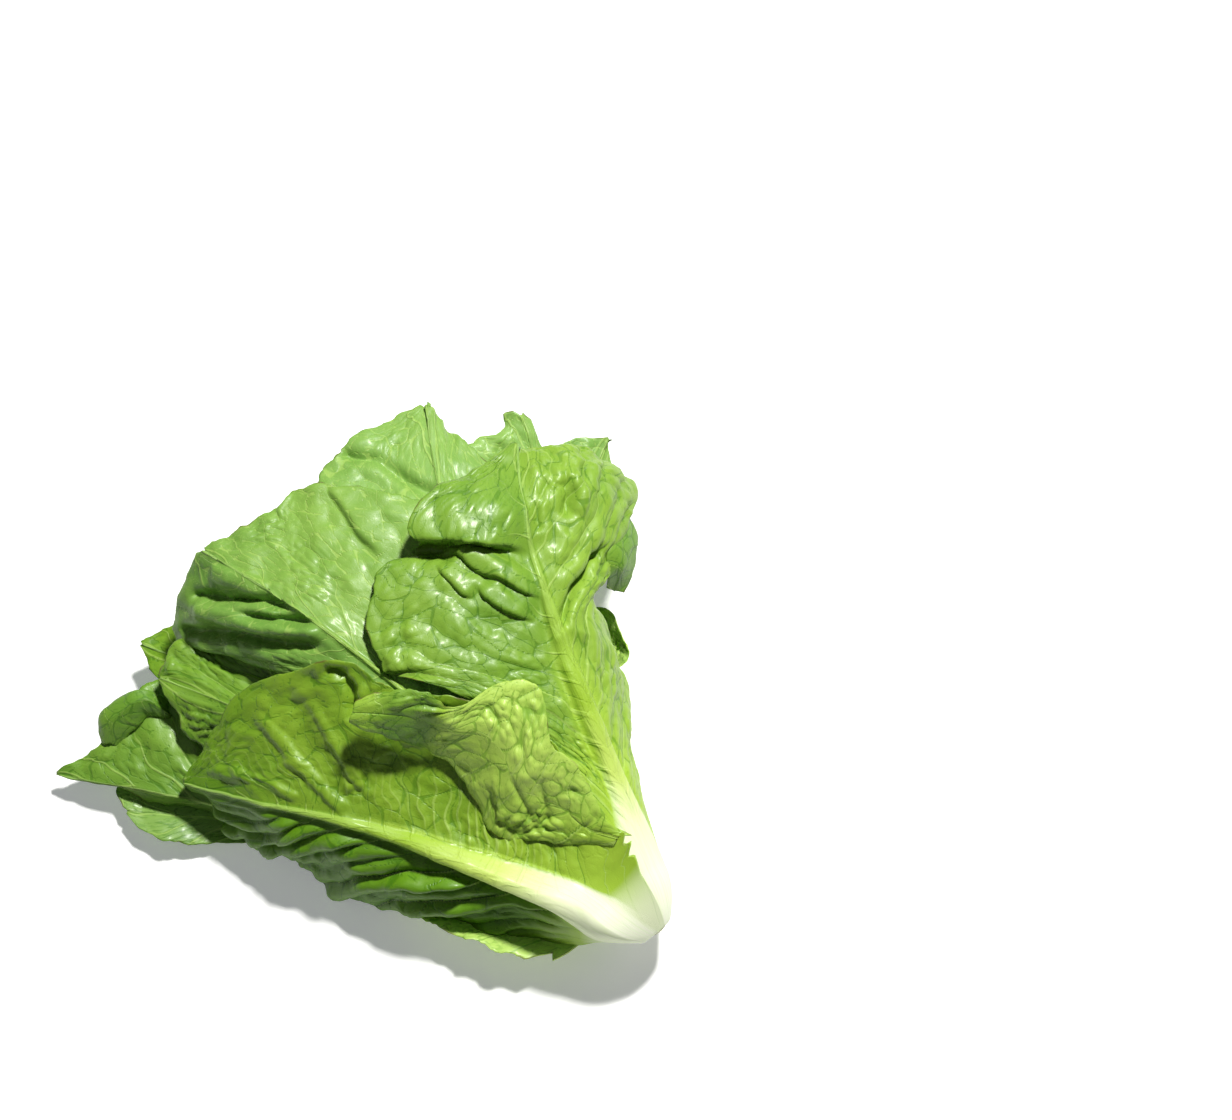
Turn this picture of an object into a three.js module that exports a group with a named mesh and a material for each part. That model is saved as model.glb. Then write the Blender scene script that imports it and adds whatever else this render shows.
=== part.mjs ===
// A head of romaine lettuce lying on its side: a tapering stem with 24 separate leaves around it.
// Millimetres, +Z up, +Y from the cut stem towards the leaf tips, the floor at z = 0. The points below
// count x and y from the middle of the cut, and the finished head is moved to stand over the origin.
//
// Every leaf is a thin closed sheet between three curves: its midrib and its two margins. "Left" is the
// side further round the head, counted from +X towards +Z, and "right" is the other side.
import * as THREE from "three";

// ---- Driving dimensions ----

const BUTT_HEIGHT = 28; // centre of the cut stem above the floor
const AXIS_RISE = 0.25; // the head's axis climbs this much per mm, up to AXIS_LEVEL_AT
const AXIS_LEVEL_AT = 50;
const BLADE_THICKNESS = 1.2;
const HEART_THICKNESS = 0.8;
const STALK_NARROWS = [0.1, 0.35]; // shares of a leaf's length over which its stalk narrows to the midrib
const MIDRIB_WIDTH = 0.12; // share of the half blade that the midrib thickens
const MIDRIB_FADE = 1.5; // how fast the midrib thins towards the tip
const LEAF_ROWS = 12; // steps from stalk to tip
const LEAF_COLUMNS = 5; // steps from midrib to margin
const HEART_ROWS = 9;
const HEART_COLUMNS = 4;

// The three rings of leaf stalks packed round the stem, outermost first: the radius of a stalk's middle
// where it starts, how fast that radius grows along the head, where the ring starts, how thick its stalks
// are there, and how much further out their edges are than their middle, STALK_REACH further on.
const STALK_RINGS = [
  { radius: 16.9, growth: 0.25, start: 0, thickness: 5, flare: 2.5 },
  { radius: 11.7, growth: 0.16, start: 8, thickness: 3.2, flare: 1.5 },
  { radius: 8.9, growth: 0.12, start: 14, thickness: 2, flare: 0.5 },
];
const STALK_REACH = 25; // the second row of a leaf's points lies this far past the start of its stalk

// The stem, as distance along its axis and radius.
const STEM_PROFILE = [
  [-1.5, 0],
  [-1, 9],
  [0.5, 12.4],
  [2.5, 13.2],
  [4, 9.4],
  [13, 8],
  [20, 6.6],
  [34, 4.8],
  [44, 3],
  [52, 0],
];
const STEM_SIDES = 20;

// The heart: pairs of facing leaves on shells nested inside one another.
const HEART_SHELLS = 6;
const HEART_SHELL_STEP = 0.15; // each shell is smaller than the first by this share of it
const HEART_RADII = [6.6, 10.5, 14.5, 20, 26, 25]; // radius of the first shell, HEART_STEP apart
const HEART_STEP = 45;
const HEART_START = 20;
const HEART_START_STEP = 7.5;
const HEART_TIP = 222;
const HEART_TIP_STEP = 23;
const HEART_DRIFT = 0.09; // sideways lean of the heart per mm past HEART_DRIFT_FROM
const HEART_DRIFT_FROM = 60;
const HEART_HALF_SPAN = 80; // degrees each leaf wraps on either side of its midrib
const HEART_FIRST_ANGLE = 25;
const HEART_TURN = 137.5; // degrees from one shell's leaves to the next
const HEART_NARROWING = 4; // power of the share of the length by which a heart leaf narrows to its tip
const HEART_ROUNDING = 0.06; // share of the length that a heart leaf's edges fall short of its midrib

// The outer leaves. stalk: [left, midrib, right], the angles in degrees where the stalk's edges and
// midrib sit on their ring, and sheath: the same angles STALK_REACH further on, where they differ.
// midrib, left and right: the points that follow, from the stalk to the tip. swell: how far each half
// blade bellies away from the head's axis at those points. flare and hem: an edge of the sheath that
// stands further out than its ring's, or lies somewhere else.
const LEAVES = {
  outer_leaf_right: {
    ring: 0,
    stalk: [90, 45, 8],
    sheath: [72, 45, 8],
    midrib: [[25, 55, 62], [35, 86, 76], [44, 114, 88], [51, 134, 95], [61, 158, 101], [75, 184, 104]],
    left: [[-6, 84, 72], [-22, 132, 91], [-29, 160, 97], [-20, 184, 100], [10, 203, 104], [56, 209, 108]],
    right: [[48, 70, 27], [70, 104, 32], [79, 132, 64], [108, 136, 46], [133, 166, 60], [120, 188, 86]],
    tip: [93, 210, 97],
    swell: { left: [3, 4, 5, 5, 4, 3], right: [5, 9, 8, 13, 14, 7] },
  },
  outer_leaf_left: {
    ring: 0,
    stalk: [225, 188, 108],
    sheath: [225, 188, 84],
    flare: 6.5,
    midrib: [[-34, 50, 34], [-50, 76, 40], [-68, 106, 47], [-88, 133, 51], [-110, 162, 47]],
    left: [[-46, 52, 9], [-75, 76, 9], [-98, 103, 8], [-115, 140, 8], [-127, 172, 15]],
    right: [[12, 56, 80], [19, 85, 99], [2, 121, 107], [-40, 168, 101], [-88, 205, 64]],
    tip: [-131, 198, 32],
    swell: { left: [3, 4, 6, 6, 4], right: [6, 9, 12, 10, 5] },
  },
  upper_leaf_left: {
    ring: 1,
    stalk: [128, 108, 89],
    midrib: [[-12, 80, 68], [-22, 120, 82], [-31, 163, 91], [-42, 212, 94]],
    left: [[-34, 120, 66], [-52, 172, 70], [-72, 218, 58], [-92, 256, 46]],
    right: [[28, 150, 86], [44, 200, 96], [6, 256, 92], [-24, 262, 88]],
    tip: [-57, 270, 84],
    swell: { left: [5, 8, 8, 5], right: [3, 3, 3, 1] },
  },
  upper_leaf_middle: {
    ring: 1,
    stalk: [75, 56, 30],
    midrib: [[10, 75, 60], [20, 115, 72], [32, 160, 82], [48, 212, 88]],
    left: [[-10, 110, 66], [-18, 165, 76], [0, 252, 83], [34, 268, 83]],
    right: [[36, 110, 64], [62, 150, 74], [80, 196, 80], [77, 240, 80]],
    tip: [75, 261, 84],
    swell: { left: [3, 3, 3, 1], right: [3, 3, 3, 1] },
  },
  upper_leaf_right: {
    ring: 2,
    stalk: [75, 35, -4],
    midrib: [[32, 72, 50], [52, 110, 58], [74, 150, 64], [94, 190, 68]],
    left: [[26, 100, 56], [46, 150, 62], [66, 200, 66], [78, 240, 72]],
    right: [[52, 90, 44], [72, 128, 52], [98, 168, 60], [108, 206, 66]],
    tip: [110, 230, 76],
    swell: { left: [3, 3, 3, 1], right: [3, 4, 3, 1] },
  },
  side_leaf_right: {
    ring: 1,
    stalk: [352, 332, 314],
    midrib: [[38, 72, 30], [56, 110, 36], [80, 148, 44], [110, 178, 52]],
    left: [[38, 100, 42], [60, 145, 50], [88, 185, 58], [118, 206, 65]],
    right: [[44, 80, 18], [64, 116, 26], [88, 152, 36], [124, 180, 47]],
    tip: [141, 197, 58],
    swell: { left: [3, 3, 3, 1], right: [3, 4, 3, 1] },
  },
  under_leaf_right: {
    ring: 0,
    stalk: [354, 326, 298],
    midrib: [[36, 60, 13], [48, 88, 10], [56, 118, 9], [60, 144, 9]],
    left: [[54, 72, 14], [76, 100, 26], [83, 120, 31], [78, 142, 22]],
    right: [[12, 84, 5], [18, 116, 5], [26, 146, 5], [42, 164, 6]],
    tip: [64, 164, 10],
    swell: { left: [3, 4, 3, 1], right: [0, 0, 0, 0] },
  },
  side_leaf_left: {
    ring: 1,
    stalk: [190, 163, 136],
    midrib: [[-34, 72, 44], [-52, 112, 48], [-70, 152, 50], [-88, 200, 46]],
    left: [[-47, 80, 31], [-71, 120, 29], [-94, 160, 31], [-108, 208, 35]],
    right: [[-26, 100, 56], [-40, 150, 60], [-56, 205, 52], [-84, 250, 38]],
    tip: [-108, 245, 36],
    swell: { left: [3, 4, 3, 1], right: [3, 3, 3, 1] },
  },
  far_leaf_left: {
    ring: 1,
    stalk: [245, 222, 199],
    midrib: [[-46, 66, 18], [-74, 108, 18], [-104, 152, 20], [-138, 200, 22]],
    left: [[-50, 60, 12], [-84, 106, 12], [-108, 146, 12], [-142, 202, 15]],
    right: [[-57, 84, 26], [-81, 124, 31], [-108, 176, 32], [-128, 244, 28]],
    tip: [-176, 249, 14],
    swell: { left: [0, 0, 0, 0], right: [2, 2, 2, 1] },
  },
  inner_leaf_left: {
    ring: 2,
    stalk: [210, 182, 152],
    midrib: [[-24, 75, 38], [-40, 120, 38], [-58, 170, 36], [-80, 225, 32]],
    left: [[-40, 85, 24], [-62, 130, 22], [-84, 180, 22], [-106, 238, 24]],
    right: [[-14, 110, 50], [-24, 160, 48], [-46, 215, 42], [-72, 262, 30]],
    tip: [-103, 274, 24],
    swell: { left: [2, 2, 2, 1], right: [2, 2, 2, 1] },
  },
  under_leaf_middle: {
    ring: 0,
    stalk: [290, 258, 231],
    midrib: [[-10, 62, 0.6], [-14, 104, 0.6], [-16, 146, 0.6], [-14, 190, 0.6]],
    left: [[24, 70, 0.6], [44, 110, 0.6], [48, 156, 0.6], [30, 204, 0.6]],
    right: [[-70, 56, 2], [-80, 104, 0.6], [-72, 156, 0.6], [-48, 206, 0.6]],
    hem: [-46, 23, 4],
    tip: [-8, 232, 0.6],
    swell: { left: [0, 0, 0, 0], right: [0, 0, 0, 0] },
  },
  under_leaf_left: {
    ring: 1,
    stalk: [299, 276, 253],
    midrib: [[-26, 64, 7], [-56, 106, 4.5], [-92, 146, 4], [-130, 178, 3.4]],
    left: [[-4, 76, 7], [-26, 130, 5], [-62, 178, 4.5], [-112, 200, 3.6]],
    right: [[-50, 70, 5], [-80, 110, 4], [-112, 150, 3.4], [-140, 184, 3.3]],
    tip: [-162, 201, 3.4],
    swell: { left: [0, 0, 0, 0], right: [0, 0, 0, 0] },
  },
};

const COLOURS = { outer: 0x5d9c2c, under: 0x7fae35, heart: 0xc9d97a, stem: 0xe9edc4 };
const ROUGHNESS = { leaf: 0.45, heart: 0.5, stem: 0.5 };
const SLOPE_STEP = 1e-3; // how far apart a sheet's points are taken to find its slope

// ---- The head's axis and rings ----

const radians = THREE.MathUtils.degToRad;

// The head's centre in the cross-section at distance y from the cut.
function axisAt(y) {
  return new THREE.Vector3(0, y, BUTT_HEIGHT + AXIS_RISE * Math.min(y, AXIS_LEVEL_AT));
}

function onRing(ring, angle, y, flare = 0) {
  const radius = ring.radius + ring.growth * y + flare;
  const round = new THREE.Vector3(Math.cos(radians(angle)), 0, Math.sin(radians(angle)));
  return axisAt(y).addScaledVector(round, radius);
}

// ---- A leaf's sheet ----

// A smooth curve through the points, with point i at i / (number of points - 1).
function through(points) {
  return new THREE.CatmullRomCurve3(points, false, "catmullrom");
}

// The three curves of an outer leaf and the swell of its halves: two rows on its ring, its own points,
// then its tip.
function curvesOf(leaf) {
  const ring = STALK_RINGS[leaf.ring];
  const sheath = leaf.sheath ?? leaf.stalk;
  const reach = ring.start + STALK_REACH;
  const curve = (edge, flare, points, hem) =>
    through([
      onRing(ring, leaf.stalk[edge], ring.start),
      hem ? new THREE.Vector3(...hem) : onRing(ring, sheath[edge], reach, flare),
      ...points.map((p) => new THREE.Vector3(...p)),
      new THREE.Vector3(...leaf.tip),
    ]);
  const swell = (edge, own) => [
    arcRise(ring, leaf.stalk[edge] - leaf.stalk[1], ring.start),
    arcRise(ring, sheath[edge] - sheath[1], reach),
    ...own,
    0,
  ];
  return {
    left: curve(0, ring.flare, leaf.left),
    midrib: curve(1, 0, leaf.midrib),
    right: curve(2, leaf.flare ?? ring.flare, leaf.right, leaf.hem),
    swell: { left: swell(0, leaf.swell.left), right: swell(2, leaf.swell.right) },
  };
}

// The height of a ring's arc over its chord, at distance y from the cut.
function arcRise(ring, span, y) {
  return (ring.radius + ring.growth * y) * (1 - Math.cos(radians(span / 2)));
}

// A value between the entries of a list, at 0 for the first and 1 for the last.
function along(list, share) {
  const place = Math.min(share, 1) * (list.length - 1);
  const from = Math.min(Math.floor(place), list.length - 2);
  return THREE.MathUtils.lerp(list[from], list[from + 1], place - from);
}

// The point of an outer leaf's middle sheet: u runs from stalk to tip, v from -1 at the left margin to 1
// at the right one. Each half blade is a straight line from midrib to margin plus a parabola's belly.
function bladePoint(curves, u, v) {
  const side = v < 0 ? "left" : "right";
  const share = Math.abs(v);
  const start = curves.midrib.getPoint(u);
  const chord = curves[side].getPoint(u).sub(start);
  const point = start.clone().addScaledVector(chord, share);
  const middle = start.clone().addScaledVector(chord, 0.5);
  const outward = middle.sub(axisAt(middle.y));
  outward.addScaledVector(chord, -outward.dot(chord) / Math.max(chord.lengthSq(), 1e-6));
  const swell = along(curves.swell[side], u);
  return point.addScaledVector(outward.normalize(), swell * 4 * share * (1 - share));
}

// Thickness of an outer leaf: its stalk thins to the blade by the third row, and its midrib by the tip.
function bladeThickness(ring, u, v) {
  const stalk = STALK_RINGS[ring].thickness - BLADE_THICKNESS;
  const width = THREE.MathUtils.lerp(1, MIDRIB_WIDTH, THREE.MathUtils.smoothstep(u, ...STALK_NARROWS));
  const ridge = Math.exp(-((v / width) ** 2)) * (1 - u) ** MIDRIB_FADE;
  return BLADE_THICKNESS + stalk * ridge;
}

// ---- A heart leaf's sheet ----

function heartCentre(y) {
  return axisAt(y).setX(HEART_DRIFT * Math.max(0, y - HEART_DRIFT_FROM));
}

// Heart leaves stand on shells round the head's axis: the angle goes with v and narrows towards the tip.
function heartPoint(shell, angle, u, v) {
  const start = HEART_START + HEART_START_STEP * shell;
  const tip = HEART_TIP - HEART_TIP_STEP * shell;
  const y = THREE.MathUtils.lerp(start, tip, u * (1 - HEART_ROUNDING * v * v * u));
  const radius = along(HEART_RADII, y / (HEART_STEP * (HEART_RADII.length - 1)));
  const span = HEART_HALF_SPAN * Math.sqrt(1 - u ** HEART_NARROWING);
  const turn = radians(angle - v * span);
  const round = new THREE.Vector3(Math.cos(turn), 0, Math.sin(turn));
  return heartCentre(y).addScaledVector(round, radius * (1 - HEART_SHELL_STEP * shell));
}

// ---- A sheet made solid ----

// Gives the middle sheet its thickness, and flattens it where it lies on the floor. Rows run from stalk to
// tip and columns from left to right, with half of them on each side of the midrib. The last row is one
// point, the tip.
function sheetSolid(point, thickness, rows, half) {
  const across = 2 * half + 1;
  const positions = [];
  const addPoint = (u, v, face) => {
    const thick = thickness(u, v);
    const at = point(u, v);
    at.z = Math.max(at.z, thick / 2);
    const inU = Math.min(u, 1 - 2 * SLOPE_STEP);
    const inV = Math.max(Math.min(v, 1 - SLOPE_STEP), -1 + SLOPE_STEP);
    const alongU = point(inU + SLOPE_STEP, inV).sub(point(Math.max(inU - SLOPE_STEP, 0), inV));
    const alongV = point(inU, inV + SLOPE_STEP).sub(point(inU, inV - SLOPE_STEP));
    const normal = alongV.cross(alongU).normalize();
    at.addScaledVector(normal, (face * thick) / 2);
    positions.push(at.x, at.y, Math.max(at.z, 0));
  };
  for (const face of [1, -1]) {
    for (let row = 0; row < rows; row++)
      for (let column = -half; column <= half; column++) addPoint(row / rows, column / half, face);
    addPoint(1, 0, face);
  }
  const layer = rows * across + 1;
  const at = (face, row, column) => face * layer + (row === rows ? rows * across : row * across + column);
  const triangles = [];
  const quad = (a, b, c, d) => triangles.push(a, b, c, a, c, d);
  for (let row = 0; row < rows - 1; row++)
    for (let column = 0; column < across - 1; column++) {
      const [a, b] = [at(0, row, column), at(0, row, column + 1)];
      const [c, d] = [at(0, row + 1, column + 1), at(0, row + 1, column)];
      quad(a, b, c, d);
      quad(d + layer, c + layer, b + layer, a + layer);
    }
  for (let column = 0; column < across - 1; column++) {
    const [a, b, tip] = [at(0, rows - 1, column), at(0, rows - 1, column + 1), at(0, rows, 0)];
    triangles.push(a, b, tip, tip + layer, b + layer, a + layer);
    quad(at(1, 0, column), at(1, 0, column + 1), at(0, 0, column + 1), at(0, 0, column));
  }
  for (let row = 0; row < rows; row++)
    for (const [column, leftSide] of [[0, true], [across - 1, false]]) {
      const [a, b] = [at(0, row, column), at(0, row + 1, column)];
      if (leftSide) quad(a, b, b + layer, a + layer);
      else quad(b, a, a + layer, b + layer);
    }
  const geometry = new THREE.BufferGeometry();
  geometry.setAttribute("position", new THREE.Float32BufferAttribute(positions, 3));
  geometry.setIndex(triangles);
  geometry.computeVertexNormals();
  return geometry;
}

// ---- The head ----

function named(name, geometry, colour, roughness) {
  const material = new THREE.MeshStandardMaterial({ color: colour, roughness, metalness: 0 });
  const mesh = new THREE.Mesh(geometry, material);
  mesh.name = name;
  return mesh;
}

function stem() {
  const profile = STEM_PROFILE.map(([y, radius]) => new THREE.Vector2(radius, y));
  const mesh = named("stem", new THREE.LatheGeometry(profile, STEM_SIDES), COLOURS.stem, ROUGHNESS.stem);
  mesh.position.copy(axisAt(0));
  mesh.rotation.x = Math.atan(AXIS_RISE);
  return mesh;
}

function outerLeaf(name, leaf) {
  const curves = curvesOf(leaf);
  const geometry = sheetSolid(
    (u, v) => bladePoint(curves, u, v),
    (u, v) => bladeThickness(leaf.ring, u, v),
    LEAF_ROWS,
    LEAF_COLUMNS,
  );
  return named(name, geometry, COLOURS[leaf.ring === 0 ? "outer" : "under"], ROUGHNESS.leaf);
}

function heartLeaf(shell, facing) {
  const angle = HEART_FIRST_ANGLE + HEART_TURN * shell + 180 * facing;
  const geometry = sheetSolid(
    (u, v) => heartPoint(shell, angle, u, v),
    () => HEART_THICKNESS,
    HEART_ROWS,
    HEART_COLUMNS,
  );
  const number = String(2 * shell + facing + 1).padStart(2, "0");
  return named(`heart_leaf_${number}`, geometry, COLOURS.heart, ROUGHNESS.heart);
}

const head = new THREE.Group();
head.add(stem());
for (const [name, leaf] of Object.entries(LEAVES)) head.add(outerLeaf(name, leaf));
for (let shell = 0; shell < HEART_SHELLS; shell++)
  for (const facing of [0, 1]) head.add(heartLeaf(shell, facing));

const footprint = new THREE.Box3().setFromObject(head, true).getCenter(new THREE.Vector3());
head.position.set(-footprint.x, -footprint.y, 0);

const part = new THREE.Group();
part.add(head);

export default part;
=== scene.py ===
"""A head of romaine lettuce on its side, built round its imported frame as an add-on that runs as a script.

Every leaf is a thin closed shell on a grid of two parameters: u runs from the cut stalk to the tip and v
from -1 at the left margin to 1 at the right one. Lengths in the tables and in the shape functions are
millimetres counted from the middle of the cut stem; a mesh is moved to its place and turned into metres
when it is made.
"""
import math

import bpy
import numpy as np
from mathutils import Matrix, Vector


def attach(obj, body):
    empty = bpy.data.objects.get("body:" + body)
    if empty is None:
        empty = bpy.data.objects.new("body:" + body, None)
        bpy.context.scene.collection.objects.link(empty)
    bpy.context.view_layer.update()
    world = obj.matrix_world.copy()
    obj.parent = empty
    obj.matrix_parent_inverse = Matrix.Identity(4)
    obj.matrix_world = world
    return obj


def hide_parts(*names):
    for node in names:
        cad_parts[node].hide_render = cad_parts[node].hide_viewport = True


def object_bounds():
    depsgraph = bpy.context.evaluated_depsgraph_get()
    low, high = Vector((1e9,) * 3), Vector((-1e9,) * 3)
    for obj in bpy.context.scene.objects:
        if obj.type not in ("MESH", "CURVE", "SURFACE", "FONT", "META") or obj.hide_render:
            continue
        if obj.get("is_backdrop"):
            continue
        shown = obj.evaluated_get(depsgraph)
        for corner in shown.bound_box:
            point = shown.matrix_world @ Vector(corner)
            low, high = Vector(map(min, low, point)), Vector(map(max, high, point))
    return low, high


bl_info = {
    "name": "Romaine Lettuce Head",
    "version": (1, 0, 0),
    "blender": (4, 5, 0),
    "location": "3D View > Sidebar > Lettuce",
    "description": "Leaves, cut stem, floor and light of a romaine lettuce head",
    "category": "Add Mesh",
}

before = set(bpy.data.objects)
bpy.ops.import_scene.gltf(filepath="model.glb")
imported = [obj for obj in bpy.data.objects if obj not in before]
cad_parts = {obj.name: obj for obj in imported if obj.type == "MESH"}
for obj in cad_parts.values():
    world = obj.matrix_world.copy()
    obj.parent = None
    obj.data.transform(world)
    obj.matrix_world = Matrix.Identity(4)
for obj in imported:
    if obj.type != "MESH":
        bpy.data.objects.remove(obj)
CAD_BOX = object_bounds()

MM = 0.001
HEAD_PLACE = np.array([17.586, -135.444, 0.0])  # the middle of the cut stem over the floor, mm
FLOOR_GAP = 0.05  # mm between the lowest leaf and the floor
BUTT_ROUND, BUTT_DRAW, BUTT_BULGE = 13.0, 0.5, 5.0  # rounding of the leaf bases at the cut, mm and share
CUT_SLOPE = 0.4  # mm the cut leans back per mm of height

# ---- Shape tables, the solids' with some margins and rises shifted ----

BUTT_HEIGHT, AXIS_RISE, AXIS_LEVEL_AT = 28.0, 0.25, 50.0  # the head's axis: mm, mm per mm, mm
STALK_REACH = 25.0  # mm from a stalk's start to its sheath
# the rings of stalks: radius, its growth per mm, start, stalk thickness, flare of the stalks' edges, in mm
STALK_RINGS = (
    (16.9, 0.25, 0.0, 5.0, 2.5),
    (11.7, 0.16, 8.0, 3.2, 1.5),
    (8.9, 0.12, 14.0, 2.0, 0.5),
)
# the stem's outline: distance along its axis and radius, mm
STEM_PROFILE = (
    (-5.4, 0), (-5.6, 4), (-5.2, 6.4), (-3.6, 7.6), (0, 8.4), (5, 9), (13, 8), (20, 6.6), (34, 4.8), (44, 3),
    (52, 0),
)

# Each leaf: its ring, the angles of its stalk's left edge, midrib and right edge, the same angles at the
# sheath, then the points of midrib, left and right margin, the tip, and the swell of both half blades. flare
# and collar: how far the right edge stands off its ring at the sheath and at the start. rises: the swell of
# the right half there. seats and hems: the start's and the sheath's point of a curve that leaves its ring,
# 0 for the left, 1 for the midrib, 2 for the right one.
LEAVES = {
    "outer_leaf_right": dict(
        ring=0, stalk=(90, 45, 8), sheath=(72, 45, 8),
        midrib=[(25, 55, 62), (35, 86, 76), (44, 114, 88), (51, 134, 95), (61, 158, 101), (75, 184, 104)],
        left=[(8, 84, 78), (-12, 132, 94), (-29, 160, 97), (-20, 184, 100), (10, 203, 104), (56, 209, 108)],
        right=[(48, 70, 27), (70, 104, 32), (79, 132, 64), (108, 136, 46), (133, 166, 60), (120, 188, 86)],
        tip=(93, 210, 97), swell=([3, 4, 5, 5, 4, 3], [5, 9, 8, 13, 14, 7]),
    ),
    "outer_leaf_left": dict(
        ring=0, stalk=(225, 152, 96), sheath=(225, 157, 80), flare=6.5, collar=2.5, rises=(1, -3),
        seats={1: (-19.0, 0, 45.2)}, hems={0: (-34, 16.4, 19.5), 1: (-27.4, 22.6, 52.6)},
        midrib=[(-38.8, 45, 51), (-54, 72, 53), (-71, 103, 55), (-90, 131, 57), (-111, 161, 50)],
        left=[(-54, 38, 20), (-77, 69.6, 18), (-98, 103, 9), (-113, 140, 6), (-122, 172, 10)],
        right=[(12, 56, 80), (19, 85, 99), (2, 121, 107), (-40, 168, 101), (-88, 205, 64)],
        tip=(-131, 198, 32), swell=([3, 5, 8, 8, 5], [-3, -6, -7, -3, 2]),
    ),
    "upper_leaf_left": dict(
        ring=1, stalk=(128, 108, 89),
        midrib=[(-12, 80, 68), (-22, 120, 82), (-31, 163, 91), (-42, 212, 94)],
        left=[(-34, 120, 66), (-52, 172, 70), (-72, 218, 58), (-92, 256, 46)],
        right=[(28, 150, 86), (44, 200, 96), (6, 256, 92), (-24, 262, 88)],
        tip=(-57, 270, 84), swell=([5, 8, 8, 5], [3, 3, 3, 1]),
    ),
    "upper_leaf_middle": dict(
        ring=1, stalk=(75, 56, 30),
        midrib=[(10, 75, 60), (20, 115, 72), (32, 160, 82), (48, 212, 88)],
        left=[(-10, 110, 66), (-18, 165, 76), (0, 252, 83), (34, 268, 83)],
        right=[(36, 110, 64), (62, 150, 74), (80, 196, 80), (77, 240, 80)],
        tip=(75, 261, 84), swell=([3, 3, 3, 1], [3, 3, 3, 1]),
    ),
    "upper_leaf_right": dict(
        ring=2, stalk=(75, 35, -4),
        midrib=[(32, 72, 50), (52, 110, 58), (74, 150, 64), (94, 190, 68)],
        left=[(26, 100, 56), (46, 150, 62), (66, 200, 66), (78, 240, 72)],
        right=[(52, 90, 44), (72, 128, 52), (98, 168, 60), (108, 206, 66)],
        tip=(110, 230, 76), swell=([3, 3, 3, 1], [3, 4, 3, 1]),
    ),
    "side_leaf_right": dict(
        ring=1, stalk=(352, 332, 314),
        midrib=[(38, 72, 30), (56, 110, 36), (80, 148, 44), (110, 178, 52)],
        left=[(38, 100, 42), (60, 145, 50), (88, 185, 58), (118, 206, 65)],
        right=[(44, 80, 18), (64, 116, 26), (88, 152, 36), (126, 176, 47)],
        tip=(141, 196, 59), swell=([3, 3, 3, 1], [3, 4, 3, 1]),
    ),
    "under_leaf_right": dict(
        ring=0, stalk=(354, 326, 298),
        midrib=[(43, 82, 13), (54, 107, 14), (75, 126, 18), (79, 140, 18)],
        left=[(51, 76, 15), (67, 101, 28), (78, 110, 36), (85, 133, 34)],
        right=[(12, 84, 5), (18, 116, 5), (26, 146, 5), (42, 164, 6)],
        tip=(64, 164, 10), swell=([3, 4, 3, 1], [0, 0, 0, 0]),
    ),
    "side_leaf_left": dict(
        ring=1, stalk=(190, 163, 136),
        midrib=[(-34, 72, 42), (-52, 112, 48), (-70, 152, 56), (-88, 200, 56)],
        left=[(-47, 80, 31), (-71, 120, 29), (-94, 160, 35), (-109, 208, 43)],
        right=[(-26, 100, 54), (-40, 150, 62), (-56, 205, 61), (-85, 250, 49)],
        tip=(-109, 245, 46), swell=([3, 4, 3, 1], [3, 3, 3, 1]),
    ),
    "far_leaf_left": dict(
        ring=1, stalk=(245, 222, 199),
        midrib=[(-46, 66, 18), (-74, 108, 18), (-104, 152, 20), (-138, 200, 22)],
        left=[(-50, 60, 12), (-84, 106, 12), (-108, 146, 12), (-142, 202, 15)],
        right=[(-57, 84, 26), (-84, 136, 30), (-104, 188, 31), (-121, 240, 30)],
        tip=(-176, 249, 14), swell=([0, 0, 0, 0], [2, 2, 2, 1]),
    ),
    "inner_leaf_left": dict(
        ring=2, stalk=(210, 182, 152),
        midrib=[(-24, 75, 38), (-40, 120, 38), (-58, 170, 36), (-80, 225, 32)],
        left=[(-40, 85, 24), (-62, 130, 22), (-84, 180, 22), (-106, 238, 24)],
        right=[(-14, 110, 50), (-24, 160, 48), (-46, 215, 42), (-72, 262, 30)],
        tip=(-103, 274, 24), swell=([2, 2, 2, 1], [2, 2, 2, 1]),
    ),
    "under_leaf_middle": dict(
        ring=0, stalk=(290, 258, 231), hems={2: (-48.5, 19, 22)},
        midrib=[(-10, 62, 0.6), (-14, 104, 0.6), (-16, 146, 0.6), (-14, 190, 0.6)],
        left=[(24, 70, 0.6), (44, 110, 0.6), (48, 156, 0.6), (30, 204, 0.6)],
        right=[(-70.5, 49, 24), (-85, 93, 13), (-74, 156, 2), (-48, 206, 0.6)],
        tip=(-8, 232, 0.6), swell=([0, 0, 0, 0], [5, 4, 1, 0]),
    ),
    "under_leaf_left": dict(
        ring=1, stalk=(299, 276, 253),
        midrib=[(-26, 64, 7), (-56, 106, 4.5), (-92, 146, 4), (-142, 194, 11)],
        left=[(-4, 76, 7), (-26, 130, 5), (-70, 184, 4.5), (-148, 222, 12)],
        right=[(-50, 70, 5), (-80, 110, 4), (-112, 152, 4), (-154, 186, 13)],
        tip=(-160, 212, 13), swell=([0, 0, 0, 0], [0, 0, 0, 0]),
    ),
}

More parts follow.
